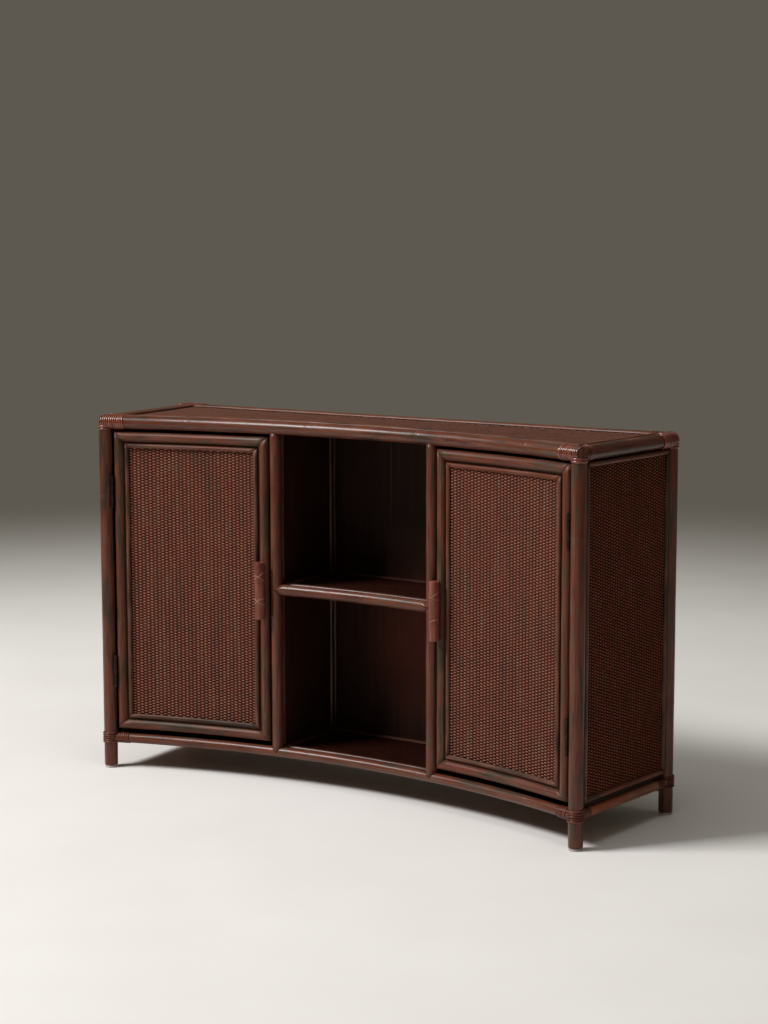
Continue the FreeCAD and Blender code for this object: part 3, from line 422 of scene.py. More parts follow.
def woven_mat(place, spokes, strands, inside=None):
    """A plain weave: strands that rise over one spoke and dive under the next, in turn.

    With i spokes and j strands, a strand's height is a mean plus an amplitude times
    cos(pi * i + pi * j) between the spokes, drawn out at its top so that the bumps are long. Its width
    swells on the bumps. The spokes are straight low strips under them. place takes (u, v, height) with
    spokes at whole u pitches and strands at whole v pitches; inside says which (u, v) the mat covers.
    """
    random = np.random.default_rng(next(seed))
    stations = len(spokes) * STEPS_PER_SPOKE + 1
    index = np.arange(stations)[None, :, None] / STEPS_PER_SPOKE - 0.5
    row = np.arange(len(strands))[:, None, None]
    side = np.array([-1, 0, 1])[None, None, :]
    wave = np.cos(math.pi * (index + row))
    over = np.sign(wave) * np.abs(wave) ** BUMP_POWER
    cell = np.clip(np.arange(stations) // STEPS_PER_SPOKE, 0, len(spokes) - 1)
    vigour = random.normal(1, VIGOUR_SPREAD, (len(strands), len(spokes)))[:, cell, None]
    tone = random.uniform(0, 1, (len(strands), len(spokes)))[:, cell, None]
    row_tone = random.uniform(0, 1, (len(strands), 1, 1))
    bump = np.clip(over, 0, 1)
    half = (STRAND_HALF + STRAND_SWELL * bump) * MM * vigour
    crown = STRAND_CROWN * (1 - side ** 2) * (DIVING_CROWN + (1 - DIVING_CROWN) * bump)
    height = (STRAND_MEAN + STRAND_RISE * over * vigour + crown) * MM
    start = random.uniform(0, TURN, (len(strands), 1, 1))
    drift = STRAND_DRIFT * MM * np.sin(index * DRIFT_RATE + start)
    along = spokes[0] + SPOKE_PITCH * index + 0 * row + 0 * side
    across = strands[:, None, None] + drift + side * half
    relief = np.clip(0.5 + 0.5 * over, 0, 1) * (1 - 0.5 * side ** 2)
    value = SPOT_TONE * tone + ROW_TONE * row_tone + 0 * side
    kept = np.ones((len(strands), stations - 1), bool)
    if inside:
        u_middle = (along[:, :-1, 1] + along[:, 1:, 1]) / 2
        kept = inside(u_middle, strands[:, None] + 0 * u_middle)
    woven = strips(place, along, across, height + 0 * along, value, relief, kept, STRAND_ROWS)

    steps = np.linspace(strands[0], strands[-1], SPOKE_STATIONS)[None, :, None]
    spoke_along = steps + 0 * spokes[:, None, None] + 0 * side
    spoke_across = spokes[:, None, None] + side * SPOKE_HALF * MM + 0 * steps
    spoke_height = (SPOKE_EDGE + SPOKE_CROWN * (1 - side ** 2)) * MM + 0 * spoke_along
    spoke_relief = SPOKE_RELIEF + SPOKE_CROWN_RELIEF * (1 - side ** 2) + 0 * spoke_along
    spoke_kept = np.ones((len(spokes), SPOKE_STATIONS - 1), bool)
    if inside:
        v_middle = (steps[:, :-1, 0] + steps[:, 1:, 0]) / 2
        spoke_kept = inside(spokes[:, None] + 0 * v_middle, v_middle + 0 * spokes[:, None])
    spoke_tone = random.uniform(0, 1, (len(spokes), 1, 1)) + 0 * spoke_along
    stiff = strips(lambda v, u, h: place(u, v, h), spoke_along, spoke_across, spoke_height, spoke_tone,
                   spoke_relief, spoke_kept, SPOKE_ROWS)
    return together([woven, stiff])


def spread(low, high, pitch):
    """Evenly pitched places that fill a span, centred in it."""
    count = int((high - low) / pitch)
    return (low + high) / 2 + pitch * (np.arange(count) - (count - 1) / 2)


def show(name, surface, material, body, nodes):
    """Puts a surface into a mesh object that rides on its body and stands for its CAD nodes."""
    mesh = bpy.data.meshes.new(name)
    mesh.from_pydata(surface.points.tolist(), [], surface.quads.tolist() + surface.triangles.tolist())
    mesh.polygons.foreach_set("use_smooth", np.ones(len(mesh.polygons), bool))
    for value, numbers in surface.values.items():
        kind, field = ("FLOAT_VECTOR", "vector") if numbers.ndim > 1 else ("FLOAT", "value")
        mesh.attributes.new(value, kind, "POINT").data.foreach_set(field, numbers.astype(np.float32).ravel())
    if surface.quad_map is not None:
        corners = np.concatenate([surface.quad_map.reshape(-1), surface.triangle_map.reshape(-1)])
        layer = mesh.uv_layers.new(name="OFBake")
        layer.uv.foreach_set("vector", corners.astype(np.float32))
    mesh.materials.append(material)
    mesh.update()
    piece = bpy.data.objects.new(name, mesh)
    bpy.context.scene.collection.objects.link(piece)
    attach(piece, body)
    if nodes:
        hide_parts(*nodes)


# Finishes.
def srgb(red, green, blue):
    """A colour as a screen shows it, 0 to 255, in the linear numbers that shaders use."""
    shares = [value / 255 for value in (red, green, blue)]
    linear = [s / 12.92 if s <= 0.04045 else ((s + 0.055) / 1.055) ** 2.4 for s in shares]
    return (*linear, 1.0)


class Graph:
    """Adds nodes to one tree. An input is given as a socket to link or as a number, vector or colour."""

    def __init__(self, tree):
        self.tree = tree

    def add(self, kind, inputs=(), **settings):
        """A new node with its settings and inputs."""
        made = self.tree.nodes.new(kind)
        for name, value in settings.items():
            setattr(made, name, value)
        for name, value in dict(inputs).items():
            if isinstance(value, bpy.types.NodeSocket):
                self.tree.links.new(value, made.inputs[name])
            else:
                made.inputs[name].default_value = value
        return made

    def link(self, value, socket):
        """Links a value to a socket that is there already."""
        self.tree.links.new(value, socket)

    def math(self, operation, first, second=0.0):
        """One sum on two numbers."""
        return self.add("ShaderNodeMath", {0: first, 1: second}, operation=operation).outputs[0]

    def rest_of(self, share):
        """What a share leaves of 1."""
        return self.math("SUBTRACT", 1.0, share)

    def swing(self, share, reach):
        """A share from 0 to 1 as a number to both sides of 0, reach apart at most."""
        return self.math("MULTIPLY", self.math("SUBTRACT", share, 0.5), reach)

    def noise(self, vector, scale, detail=3.0, roughness=0.55):
        """Noise from 0 to 1."""
        inputs = {"Vector": vector, "Scale": scale, "Detail": detail, "Roughness": roughness}
        return self.add("ShaderNodeTexNoise", inputs).outputs[0]

    def ramp(self, value, low, high):
        """0 below low and 1 above high, smooth between."""
        inputs = {"Value": value, "From Min": low, "From Max": high}
        return self.add("ShaderNodeMapRange", inputs, interpolation_type="SMOOTHSTEP").outputs[0]

    def span(self, value, low, high):
        """A share from 0 to 1 as a number from low to high."""
        return self.add("ShaderNodeMapRange", {"Value": value, "To Min": low, "To Max": high}).outputs[0]

    def mixed(self, share, first, second):
        """A colour between two, by a share of the second."""
        inputs = {0: share, 6: first, 7: second}
        return self.add("ShaderNodeMix", inputs, data_type="RGBA").outputs[2]

    def tones(self, value, stops):
        """A colour read off a row of stops, each a place from 0 to 1 with its colour."""
        made = self.add("ShaderNodeValToRGB", {"Fac": value})
        row = made.color_ramp.elements
        row.remove(row[1])
        elements = [row[0]] + [row.new(place) for place, colour in stops[1:]]
        for element, (place, colour) in zip(elements, stops):
            element.position = place
            element.color = colour
        return made.outputs[0]

    def place(self):
        """The point's place on the piece, which is its place in the frame at rest."""
        return self.add("ShaderNodeTexCoord").outputs["Object"]

    def stretched(self, vector, scale):
        """A vector times a scale for each axis."""
        return self.add("ShaderNodeVectorMath", {0: vector, 1: scale}, operation="MULTIPLY").outputs[0]

    def value_of(self, name, output="Fac"):
        """A value kept at the mesh's points."""
        return self.add("ShaderNodeAttribute", attribute_name=name).outputs[output]

    def group(self, tree, inputs):
        """A node group's outputs, with its inputs given by their labels."""
        return self.add("ShaderNodeGroup", inputs, node_tree=tree).outputs

    def bump(self, height, strength, distance):
        """A normal tilted by a height."""
        inputs = {"Height": height, "Strength": strength, "Distance": distance}
        return self.add("ShaderNodeBump", inputs).outputs[0]


def node_group(name, inputs, outputs):
    """An empty shader node group with named sockets: its graph, its input node and its output node."""
    tree = bpy.data.node_groups.new(name, "ShaderNodeTree")
    kinds = {"float": "NodeSocketFloat", "vector": "NodeSocketVector", "colour": "NodeSocketColor"}
    for label, kind in inputs:
        tree.interface.new_socket(label, in_out="INPUT", socket_type=kinds[kind])
    for label, kind in outputs:
        tree.interface.new_socket(label, in_out="OUTPUT", socket_type=kinds[kind])
    return Graph(tree), tree.nodes.new("NodeGroupInput").outputs, tree.nodes.new("NodeGroupOutput").inputs


# How far each mark of the grain is drawn out: two axes across a cane, and one along it.
CANE_FINENESS = 420.0
STREAK_STRETCH = (0.7, 0.7, 0.03)
PATCH_STRETCH = (0.13, 0.13, 0.024)
FIBRE_STRETCH = (3.0, 3.0, 0.06)
CANE_DIFFERENCE = 0.8
STREAK_GLAZE = 0.36


def make_cane_streaks():
    """Three values along a cane's grain, 0 to 1: fine streaks, slow patches and fine ridges.

    The patches are noise along the cane plus a slower noise that differs from cane to cane.
    """
    graph, given, put = node_group("cane_streaks", [("Grain", "vector"), ("Fineness", "float")],
                                   [("Streak", "float"), ("Patch", "float"), ("Height", "float")])
    fine = graph.add("ShaderNodeVectorMath", {0: given["Grain"], "Scale": given["Fineness"]},
                     operation="SCALE").outputs[0]
    streak = graph.noise(graph.stretched(fine, STREAK_STRETCH), scale=1.0, detail=4.0, roughness=0.6)
    patch = graph.noise(graph.stretched(fine, PATCH_STRETCH), scale=1.0, detail=4.0, roughness=0.58)
    whole = graph.noise(given["Grain"], scale=0.8, detail=1.0)
    patch = graph.math("ADD", patch, graph.swing(whole, CANE_DIFFERENCE))
    fibre = graph.noise(graph.stretched(fine, FIBRE_STRETCH), scale=1.0, detail=2.0, roughness=0.5)
    graph.link(graph.ramp(streak, low=0.34, high=0.62), put["Streak"])
    graph.link(graph.ramp(patch, low=0.26, high=0.74), put["Patch"])
    graph.link(graph.mixed(0.5, streak, fibre), put["Height"])
    return graph.tree


def make_rubbed_sheen_glaze():
    """Dark glaze that stays in the streaks and hollows of a ground made pale on its crests, partly rubbed
    wear and partly a painted sheen.
    """
    graph, given, put = node_group(
        "rubbed_sheen_glaze",
        [("Ground", "colour"), ("Rubbed_and_sheen", "colour"), ("Glaze", "colour"), ("Streak", "float"),
         ("Wear", "float"), ("Relief", "float")],
        [("Color", "colour")])
    # The pale crest colour is partly wear and partly a painted sheen.
    worn = graph.math("MULTIPLY", given["Wear"], graph.ramp(given["Relief"], low=0.6, high=1.0))
    tinted = graph.mixed(worn, given["Ground"], given["Rubbed_and_sheen"])
    held = graph.math("MULTIPLY", graph.rest_of(given["Streak"]), STREAK_GLAZE)
    hollow = graph.rest_of(graph.ramp(given["Relief"], low=0.0, high=0.6))
    dark = graph.math("MAXIMUM", held, hollow)
    graph.link(graph.mixed(dark, tinted, given["Glaze"]), put["Color"])
    return graph.tree


CANE_STREAKS = make_cane_streaks()
RUBBED_SHEEN_GLAZE = make_rubbed_sheen_glaze()
DARK_GLAZE = srgb(30, 17, 11)


def new_material(name):
    """A material with an empty tree: the material and its graph."""
    material = bpy.data.materials.new(name)
    material.use_nodes = True
    material.node_tree.nodes.clear()
    return material, Graph(material.node_tree)


def shade(graph, inputs):
    """The material's shader and output, with the shader's inputs given by their labels."""
    shader = graph.add("ShaderNodeBsdfPrincipled", inputs)
    graph.add("ShaderNodeOutputMaterial", {"Surface": shader.outputs[0]})


def cane_finish(name, tones, rubbed_and_sheen, smooth, rough, shine, wear=0.4, glaze=DARK_GLAZE, coat=0.0):
    """Stained cane: patches of several tones, dark streaks along the grain, glaze in the hollows, and a pale
    colour that is partly wear and partly a painted sheen.
    """
    material, graph = new_material(name)
    streaks = graph.group(CANE_STREAKS, {"Grain": graph.value_of("grain", "Vector"),
                                         "Fineness": CANE_FINENESS})
    glazed = graph.group(RUBBED_SHEEN_GLAZE, {
        "Ground": graph.tones(streaks["Patch"], tones), "Rubbed_and_sheen": rubbed_and_sheen, "Glaze": glaze,
        "Streak": streaks["Streak"], "Wear": graph.span(streaks["Streak"], low=0.0, high=wear),
        "Relief": graph.value_of("relief")})["Color"]
    shade(graph, {"Base Color": glazed, "Roughness": graph.span(streaks["Height"], smooth, rough),
                  "Normal": graph.bump(streaks["Height"], strength=0.3, distance=0.6 * MM),
                  "Specular IOR Level": shine, "Coat Weight": coat, "Coat Roughness": 0.15})
    return material


def woven_finish(name, tones, rubbed_and_sheen, glaze, low_glaze=None, wear=0.6, stretch=(95.0, 95.0, 8.0),
                 hollow=0.0, shine=0.08):
    """Woven strands: patches of several tones, each strand its own, with pale crests that are partly wear
    and partly a painted highlight, and dark hollows.

    The glaze in the hollows may change from one colour near the floor to another higher up.
    """
    material, graph = new_material(name)
    place = graph.place()
    patch = graph.noise(graph.stretched(place, stretch), scale=1.0, detail=4.0, roughness=0.66)
    fleck = graph.noise(place, scale=420.0, detail=2.0, roughness=0.5)
    strand = graph.swing(graph.value_of("strand"), reach=0.36)
    ground = graph.tones(graph.math("ADD", graph.ramp(patch, low=0.26, high=0.74), strand), tones)
    height = graph.add("ShaderNodeSeparateXYZ", {0: place}).outputs["Z"]
    cloud = graph.swing(graph.noise(place, scale=7.0, detail=2.0), reach=0.5)
    upper = graph.ramp(graph.math("ADD", height, cloud), low=0.15, high=0.6)
    glazed = graph.group(RUBBED_SHEEN_GLAZE, {
        "Ground": ground, "Rubbed_and_sheen": rubbed_and_sheen, "Glaze": graph.mixed(upper, low_glaze or glaze, glaze),
        "Streak": graph.span(fleck, low=0.3, high=1.2),
        "Wear": graph.math("MULTIPLY", graph.span(patch, low=0.4, high=1.4), wear),
        "Relief": graph.ramp(graph.value_of("relief"), low=hollow, high=1.0)})["Color"]
    shade(graph, {"Base Color": glazed, "Roughness": graph.span(fleck, low=0.34, high=0.6),
                  "Specular IOR Level": shine,
                  "Normal": graph.bump(fleck, strength=0.2, distance=0.3 * MM)})
    return material


def board_grain(graph, place, stretch):
    """Fine grain drawn out along one axis, and the share of the streaks' stain, which changes slowly."""
    grain = graph.noise(graph.stretched(place, stretch), scale=1.0, detail=5.0, roughness=0.62)
    cloud = graph.noise(place, scale=5.0, detail=3.0, roughness=0.6)
    streaked = graph.ramp(grain, low=0.3, high=0.72)
    return grain, graph.math("MULTIPLY", streaked, graph.ramp(cloud, low=0.2, high=0.8))


def shade_board(graph, colour, grain, smooth, rough):
    """The shader of a stained board."""
    shade(graph, {"Base Color": colour, "Specular IOR Level": 0.1,
                  "Roughness": graph.span(grain, smooth, rough),
                  "Normal": graph.bump(grain, strength=0.12, distance=0.4 * MM)})


def board_finish(name, ground, streaked, stretch, smooth, rough):
    """A stained board: fine grain drawn out along one axis, with slow changes of tone."""
    material, graph = new_material(name)
    grain, share = board_grain(graph, graph.place(), stretch)
    shade_board(graph, graph.mixed(share, ground, streaked), grain, smooth, rough)
    return material


# The back board's painted glow of light bounced into its lower bay, its seam and the depth over which its
# front stain ends.
PAINTED_GLOW_PLACE = (0.05, 0.155, 0.29)
PAINTED_GLOW_NEAR, PAINTED_GLOW_FAR = 0.02, 0.21
SEAM_X, SEAM_HALF, SEAM_FADE = -0.047, 0.4 * MM, 1.6 * MM
SEAM_SHARE, SEAM_LOW, SEAM_HIGH = 0.3, 0.5, 0.7
STAIN_EDGE = 0.5 * MM


def back_finish(name):
    """The back board: dark towards the niche, partly stain and partly painted shade; a painted glow of
    bounced light in the lower bay; paler behind, partly stain and partly painted light; and a seam.
    """
    material, graph = new_material(name)
    place = graph.place()
    grain, share = board_grain(graph, place, (70, 70, 3))
    # Painted glow: a warmer, lighter patch in the lower bay that stands in for light bounced up from the
    # floor.
    from_painted_glow = graph.add("ShaderNodeVectorMath", {0: place, 1: PAINTED_GLOW_PLACE}, operation="DISTANCE")
    painted_glow = graph.rest_of(graph.ramp(from_painted_glow.outputs["Value"], PAINTED_GLOW_NEAR, PAINTED_GLOW_FAR))
    # The niche side's dark stain also paints in the shade that falls in the niche.
    front = graph.mixed(painted_glow, graph.mixed(share, srgb(38, 22, 16), srgb(56, 34, 26)),
                        graph.mixed(share, srgb(82, 36, 23), srgb(106, 50, 32)))
    axes = graph.add("ShaderNodeSeparateXYZ", {0: place}).outputs
    from_seam = graph.math("ABSOLUTE", graph.math("SUBTRACT", axes["X"], SEAM_X))
    seam = graph.math("MULTIPLY", graph.rest_of(graph.ramp(from_seam, SEAM_HALF, SEAM_FADE)), SEAM_SHARE)
    seam = graph.math("MULTIPLY", seam, graph.ramp(axes["Z"], SEAM_LOW, SEAM_HIGH))
    lined = graph.mixed(seam, front, srgb(126, 92, 76))
    # Paler behind: a lighter stain that also paints in the light the back of the piece does not get.
    rear_stain_and_light = graph.mixed(share, srgb(84, 48, 33), srgb(122, 76, 54))
    behind = graph.ramp(axes["Y"], BACK_BOARD_Y - STAIN_EDGE, BACK_BOARD_Y + STAIN_EDGE)
    shade_board(graph, graph.mixed(behind, lined, rear_stain_and_light), grain, smooth=0.4, rough=0.6)
    return material


def metal_finish(name, colour, worn, metallic, smooth, rough):
    """Small hardware: clouded metal or plastic with a fine uneven surface."""
    material, graph = new_material(name)
    cloud = graph.noise(graph.place(), scale=120.0, detail=4.0, roughness=0.6)
    shade(graph, {"Base Color": graph.mixed(graph.ramp(cloud, low=0.35, high=0.75), colour, worn),
                  "Metallic": metallic, "Roughness": graph.span(cloud, smooth, rough),
                  "Normal": graph.bump(cloud, strength=0.15, distance=0.2 * MM)})
    return material


def clear_finish(name):
    """Clear moulded plastic, very slightly clouded."""
    material, graph = new_material(name)
    cloud = graph.noise(graph.place(), scale=260.0)
    shade(graph, {"Base Color": graph.mixed(cloud, srgb(226, 220, 214), srgb(196, 188, 182)),
                  "Roughness": graph.span(cloud, low=0.12, high=0.3), "IOR": 1.49,
                  "Transmission Weight": 0.4})
    return material


# Tones of the stain, from one end of the patches' noise to the other.
POLE_TONES = [(0.06, srgb(60, 42, 29)), (0.26, srgb(85, 48, 34)), (0.42, srgb(103, 44, 30)),
              (0.56, srgb(89, 61, 47)), (0.72, srgb(109, 49, 27)), (0.92, srgb(79, 58, 44))]
DOOR_POLE_TONES = [(0.06, srgb(64, 49, 33)), (0.26, srgb(90, 56, 40)), *POLE_TONES[2:]]
BEAD_TONES = [(0.10, srgb(58, 42, 31)), (0.38, srgb(94, 54, 40)), (0.62, srgb(102, 70, 56)),
              (0.88, srgb(106, 54, 35))]
# A lighter copy of the bead tones for the lower side rails: painted light, standing in for the light on
# their tops.
PAINTED_LIGHT_SIDE_RAIL_TONES = [(0.10, srgb(84, 56, 40)), (0.38, srgb(132, 70, 48)), (0.62, srgb(142, 94, 74)),
                   (0.88, srgb(146, 72, 43))]
NICHE_BEAD_TONES = [(0.1, srgb(44, 24, 17)), (0.5, srgb(76, 38, 27)), (0.9, srgb(84, 54, 42))]
PEEL_TONES = [(0.15, srgb(70, 30, 20)), (0.5, srgb(108, 42, 28)), (0.85, srgb(126, 62, 40))]
LOW_PEEL_TONES = [(0.15, srgb(60, 27, 19)), (0.5, srgb(88, 38, 27)), (0.85, srgb(100, 54, 38))]
HANDLE_TONES = [(0.15, srgb(98, 50, 38)), (0.5, srgb(124, 66, 52)), (0.85, srgb(134, 80, 65))]
TIE_TONES = [(0.2, srgb(118, 74, 56)), (0.8, srgb(146, 100, 80))]
WEAVE_TONES = [(0.05, srgb(80, 61, 44)), (0.28, srgb(98, 57, 42)), (0.50, srgb(116, 48, 36)),
               (0.72, srgb(118, 66, 38)), (0.95, srgb(100, 76, 61))]
# The sides' weave: warmer tones than the doors' weave, painting in the warm shade the sides sit in.
SHADED_SIDE_WEAVE_TONES = [(0.08, srgb(92, 53, 31)), (0.32, srgb(104, 53, 31)), (0.52, srgb(114, 44, 29)),
                    (0.72, srgb(111, 58, 31)), (0.92, srgb(98, 60, 40))]
TOP_TONES = [(0.1, srgb(66, 46, 34)), (0.5, srgb(98, 52, 40)), (0.9, srgb(94, 64, 50))]
# The niche's mats are far darker than the other weaves: a dark stain that partly paints in the shade that
# falls in the niche.
NICHE_WEAVE_SHADE_TONES = [(0.1, srgb(30, 12, 7)), (0.5, srgb(50, 18, 11)), (0.9, srgb(56, 24, 15))]

POLE = cane_finish("pole_cane", POLE_TONES, srgb(118, 86, 72), smooth=0.2, rough=0.38, shine=0.26, wear=0.35)
DOOR_POLE = cane_finish("door_cane", DOOR_POLE_TONES, srgb(124, 90, 74), smooth=0.32, rough=0.5, shine=0.2)
DOOR_BEAD = cane_finish("door_bead_cane", BEAD_TONES, srgb(128, 90, 76), smooth=0.34, rough=0.52, shine=0.16)
BEAD = cane_finish("bead_cane", BEAD_TONES, srgb(128, 90, 76), smooth=0.26, rough=0.42, shine=0.22)
# Painted light: the lower side rails are made lighter than the beads, as though lit from above.
PAINTED_LIGHT_SIDE_RAIL = cane_finish("side_rail_painted_light_cane", PAINTED_LIGHT_SIDE_RAIL_TONES, srgb(140, 100, 82), smooth=0.24, rough=0.42,
                        shine=0.24)
NICHE_BEAD = cane_finish("niche_bead_cane", NICHE_BEAD_TONES, srgb(104, 74, 62), smooth=0.22, rough=0.38,
                         shine=0.3)
DULL_BEAD = cane_finish("dull_bead_cane", NICHE_BEAD_TONES, srgb(84, 56, 46), smooth=0.4, rough=0.6,
                        shine=0.08, wear=0.2)
PEEL = cane_finish("binding_peel", PEEL_TONES, srgb(150, 92, 70), smooth=0.16, rough=0.32, shine=0.5,
                   wear=0.6, glaze=srgb(26, 11, 8), coat=0.2)
LOW_PEEL = cane_finish("low_binding_peel", LOW_PEEL_TONES, srgb(116, 72, 54), smooth=0.26, rough=0.44,
                       shine=0.24, wear=0.5, glaze=srgb(22, 10, 7))
HANDLE = cane_finish("handle_cane", HANDLE_TONES, srgb(146, 90, 70), smooth=0.3, rough=0.5, shine=0.3,
                     wear=0.3, glaze=srgb(66, 29, 20))
TIE = cane_finish("tie_peel", TIE_TONES, srgb(164, 120, 98), smooth=0.3, rough=0.5, shine=0.3,
                  wear=0.5, glaze=srgb(92, 54, 40))
WEAVE = woven_finish("woven_strands", WEAVE_TONES, srgb(152, 122, 110), glaze=srgb(94, 48, 35),
                     low_glaze=srgb(64, 30, 20))
# Painted shade: a copy of the door weave with darker glaze and warmer tones, for the sides in shade.
SHADED_SIDE_WEAVE = woven_finish("woven_side", SHADED_SIDE_WEAVE_TONES, srgb(138, 100, 78), glaze=srgb(52, 23, 13),
                          low_glaze=srgb(44, 19, 11), stretch=(30.0, 30.0, 14.0), shine=0.03)
TOP_WEAVE = woven_finish("woven_top", TOP_TONES, srgb(128, 92, 75), glaze=srgb(62, 32, 22),
                         stretch=(120.0, 26.0, 9.0), hollow=0.12)
# Painted shade, partly: the niche's mats are darkened for the shade inside the niche.
NICHE_WEAVE_STAIN_AND_SHADE = woven_finish("woven_niche", NICHE_WEAVE_SHADE_TONES, srgb(60, 31, 22), glaze=srgb(14, 5, 3),
                           wear=0.4, shine=0.03)
BACK_BOARD = back_finish("back_board")
# The niche walls' dark stain partly paints in the shade that falls in the niche.
NICHE_WALL_STAIN_AND_SHADE = board_finish("niche_board", srgb(40, 21, 15), srgb(62, 34, 24), stretch=(90, 90, 4),
                          smooth=0.4, rough=0.6)
NICHE_FLOOR = board_finish("niche_floor", srgb(70, 38, 28), srgb(104, 62, 46), stretch=(3, 70, 70),
                           smooth=0.3, rough=0.5)
BACKING = board_finish("mat_backing", srgb(30, 16, 11), srgb(48, 27, 20), stretch=(60, 60, 6),
                       smooth=0.5, rough=0.7)
DOOR_BOARD = board_finish("door_board", srgb(54, 30, 22), srgb(92, 56, 43), stretch=(60, 60, 4),
                          smooth=0.4, rough=0.6)
HINGE = metal_finish("hinge_metal", srgb(40, 33, 29), srgb(74, 60, 50), metallic=1.0, smooth=0.32, rough=0.5)
CATCH = metal_finish("catch_plastic", srgb(52, 36, 28), srgb(64, 46, 36), metallic=0.0, smooth=0.35,
                     rough=0.5)
PLATE = metal_finish("catch_steel", srgb(150, 148, 144), srgb(120, 116, 112), metallic=1.0, smooth=0.25,
                     rough=0.42)
CLEAR = clear_finish("clear_glide")

# The frame's poles, with the places of their joints in metres along them.
CORNERS = (("front", FRONT_POST, (0.30, 0.62)), ("back", BACK_POST, (0.24, 0.55)))
# The lower side rails take the lighter, painted-light finish; the top ones take the plain pole finish.
RAILS = (("top", TOP_Z, TOP_RADIUS, POLE), ("lower", LOWER_Z, LOWER_RADIUS, PAINTED_LIGHT_SIDE_RAIL))
FRONT_RAIL_JOINTS, BACK_RAIL_JOINTS = (-0.41, -0.12, 0.17, 0.47), (0.28, 0.63, 0.98)
SIDE_RAIL_JOINTS, DIVIDER_JOINTS, SHELF_JOINTS = (0.15,), (0.27, 0.66), (-0.06,)
POST_ROUNDING = 2.5 * MM
KNOB_ROUNDING = 0.98 * POST_RADIUS
SHELF_HORN = 1.35

for name, hand in SIDES:
    for end, corner, joints in CORNERS:
        place = upright(hand * corner.x, corner.y)
        shaft = pole(place, GLIDE_TOP, TOP_Z, POST_RADIUS, joints=joints, rounding=POST_ROUNDING)
        knob = pole(place, TOP_Z - POST_RADIUS, TOP_Z + POST_RADIUS, POST_RADIUS, rounding=KNOB_ROUNDING)
        show(f"cane_post_{end}_{name}", together([shaft, knob]), POLE, "carcass",
             [f"post_{end}_{name}"])

for level, z, radius, side_cane in RAILS:
    front = pole(on_bow(z), -POST_ARC, POST_ARC, radius, joints=FRONT_RAIL_JOINTS)
    show(f"cane_{level}_rail_front", front, POLE, "carcass", [f"{level}_rail_front"])
    back = pole(across_back(BACK_POST.x, BACK_POST.y, z), 0, BACK_SPAN, radius, joints=BACK_RAIL_JOINTS)
    show(f"cane_{level}_rail_back", back, POLE, "carcass", [f"{level}_rail_back"])
    for name, hand in SIDES:
        rail = pole(side_rail_place(hand, z), 0, SIDE_LENGTH, radius, joints=SIDE_RAIL_JOINTS)
        show(f"cane_{level}_rail_{name}", rail, side_cane, "carcass", [f"{level}_rail_{name}"])


def saddle(rail_radius, offset, scale):
    """How far a fish-mouth end is moved along its pole, where it is offset across the rail it sits on."""
    return scale * (rail_radius - np.sqrt(np.clip(rail_radius ** 2 - offset ** 2, 0, None)))


for name, hand in SIDES:
    place = upright(hand * DIVIDER.x, DIVIDER.y, -hand * DIVIDER_ARC / BOW_RADIUS)
    post = pole(place, LOWER_Z + LOWER_RADIUS, TOP_Z - TOP_RADIUS, DIVIDER_RADIUS, joints=DIVIDER_JOINTS,
                start_cut=lambda a, b: saddle(LOWER_RADIUS, b, -1),
                end_cut=lambda a, b: saddle(TOP_RADIUS, b, 1))
    show(f"cane_divider_{name}", post, POLE, "carcass", [f"divider_post_{name}"])

shelf_reach = DIVIDER_ARC - DIVIDER_RADIUS
shelf_cane = pole(on_bow(SHELF_Z), -shelf_reach, shelf_reach, SHELF_RADIUS, joints=SHELF_JOINTS,
                  start_cut=lambda a, b: saddle(DIVIDER_RADIUS, a, -SHELF_HORN),
                  end_cut=lambda a, b: saddle(DIVIDER_RADIUS, a, SHELF_HORN))
show("cane_shelf_rail", shelf_cane, POLE, "carcass", ["shelf_rail"])

# Mats of the carcass.
SIDE_FACE = 2 * MM
SIDE_EDGE = POST_RADIUS + 8 * MM
SIDE_LOW = LOWER_Z + LOWER_RADIUS + 11 * MM + BEAD_RADIUS
SIDE_HIGH = TOP_Z - TOP_RADIUS - 3 * MM - BEAD_RADIUS
BEAD_GAP = 5.2 * MM
TOP_EDGE = TOP_RADIUS + BEAD_GAP
TOP_MAT_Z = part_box("top_weave")[0].z + 2 * MM
TOP_MAT_PARTS = 3


def side_mat_place(hand):
    """A side mat's place: u from front to back on the right, back to front on the left, v up, height out."""
    rail = side_rail_place(hand, 0.0)

    def place(u, v, height):
        return rail(SIDE_LENGTH - u, SIDE_FACE + height, v)
    return place


def level_mat_place(z):
    """A level mat's place: u to the right, v to the back, height up from z."""
    def place(u, v, height):
        return np.stack([u, v, z + height], axis=-1)
    return place


def inside_top(u, v):
    """Whether a plan point is inside the line of the top beads: bowed in front, tapered at the sides."""
    taper = (BACK_POST.x - FRONT_POST.x) / (BACK_POST.y - FRONT_POST.y)
    half_width = FRONT_POST.x + taper * (v - FRONT_POST.y) - TOP_EDGE
    from_bow = np.hypot(u, v - BOW_CENTRE_Y) - BOW_RADIUS
    return (np.abs(u) < half_width) & (from_bow > TOP_EDGE) & (v < BACK_POST.y - TOP_EDGE)


for name, hand in SIDES:
    mat = woven_mat(side_mat_place(hand), spread(SIDE_EDGE, SIDE_LENGTH - SIDE_EDGE, SPOKE_PITCH),
                    spread(SIDE_LOW, SIDE_HIGH, STRAND_PITCH))
    show(f"woven_side_{name}", mat, SHADED_SIDE_WEAVE, "carcass", [f"side_weave_{name}"])

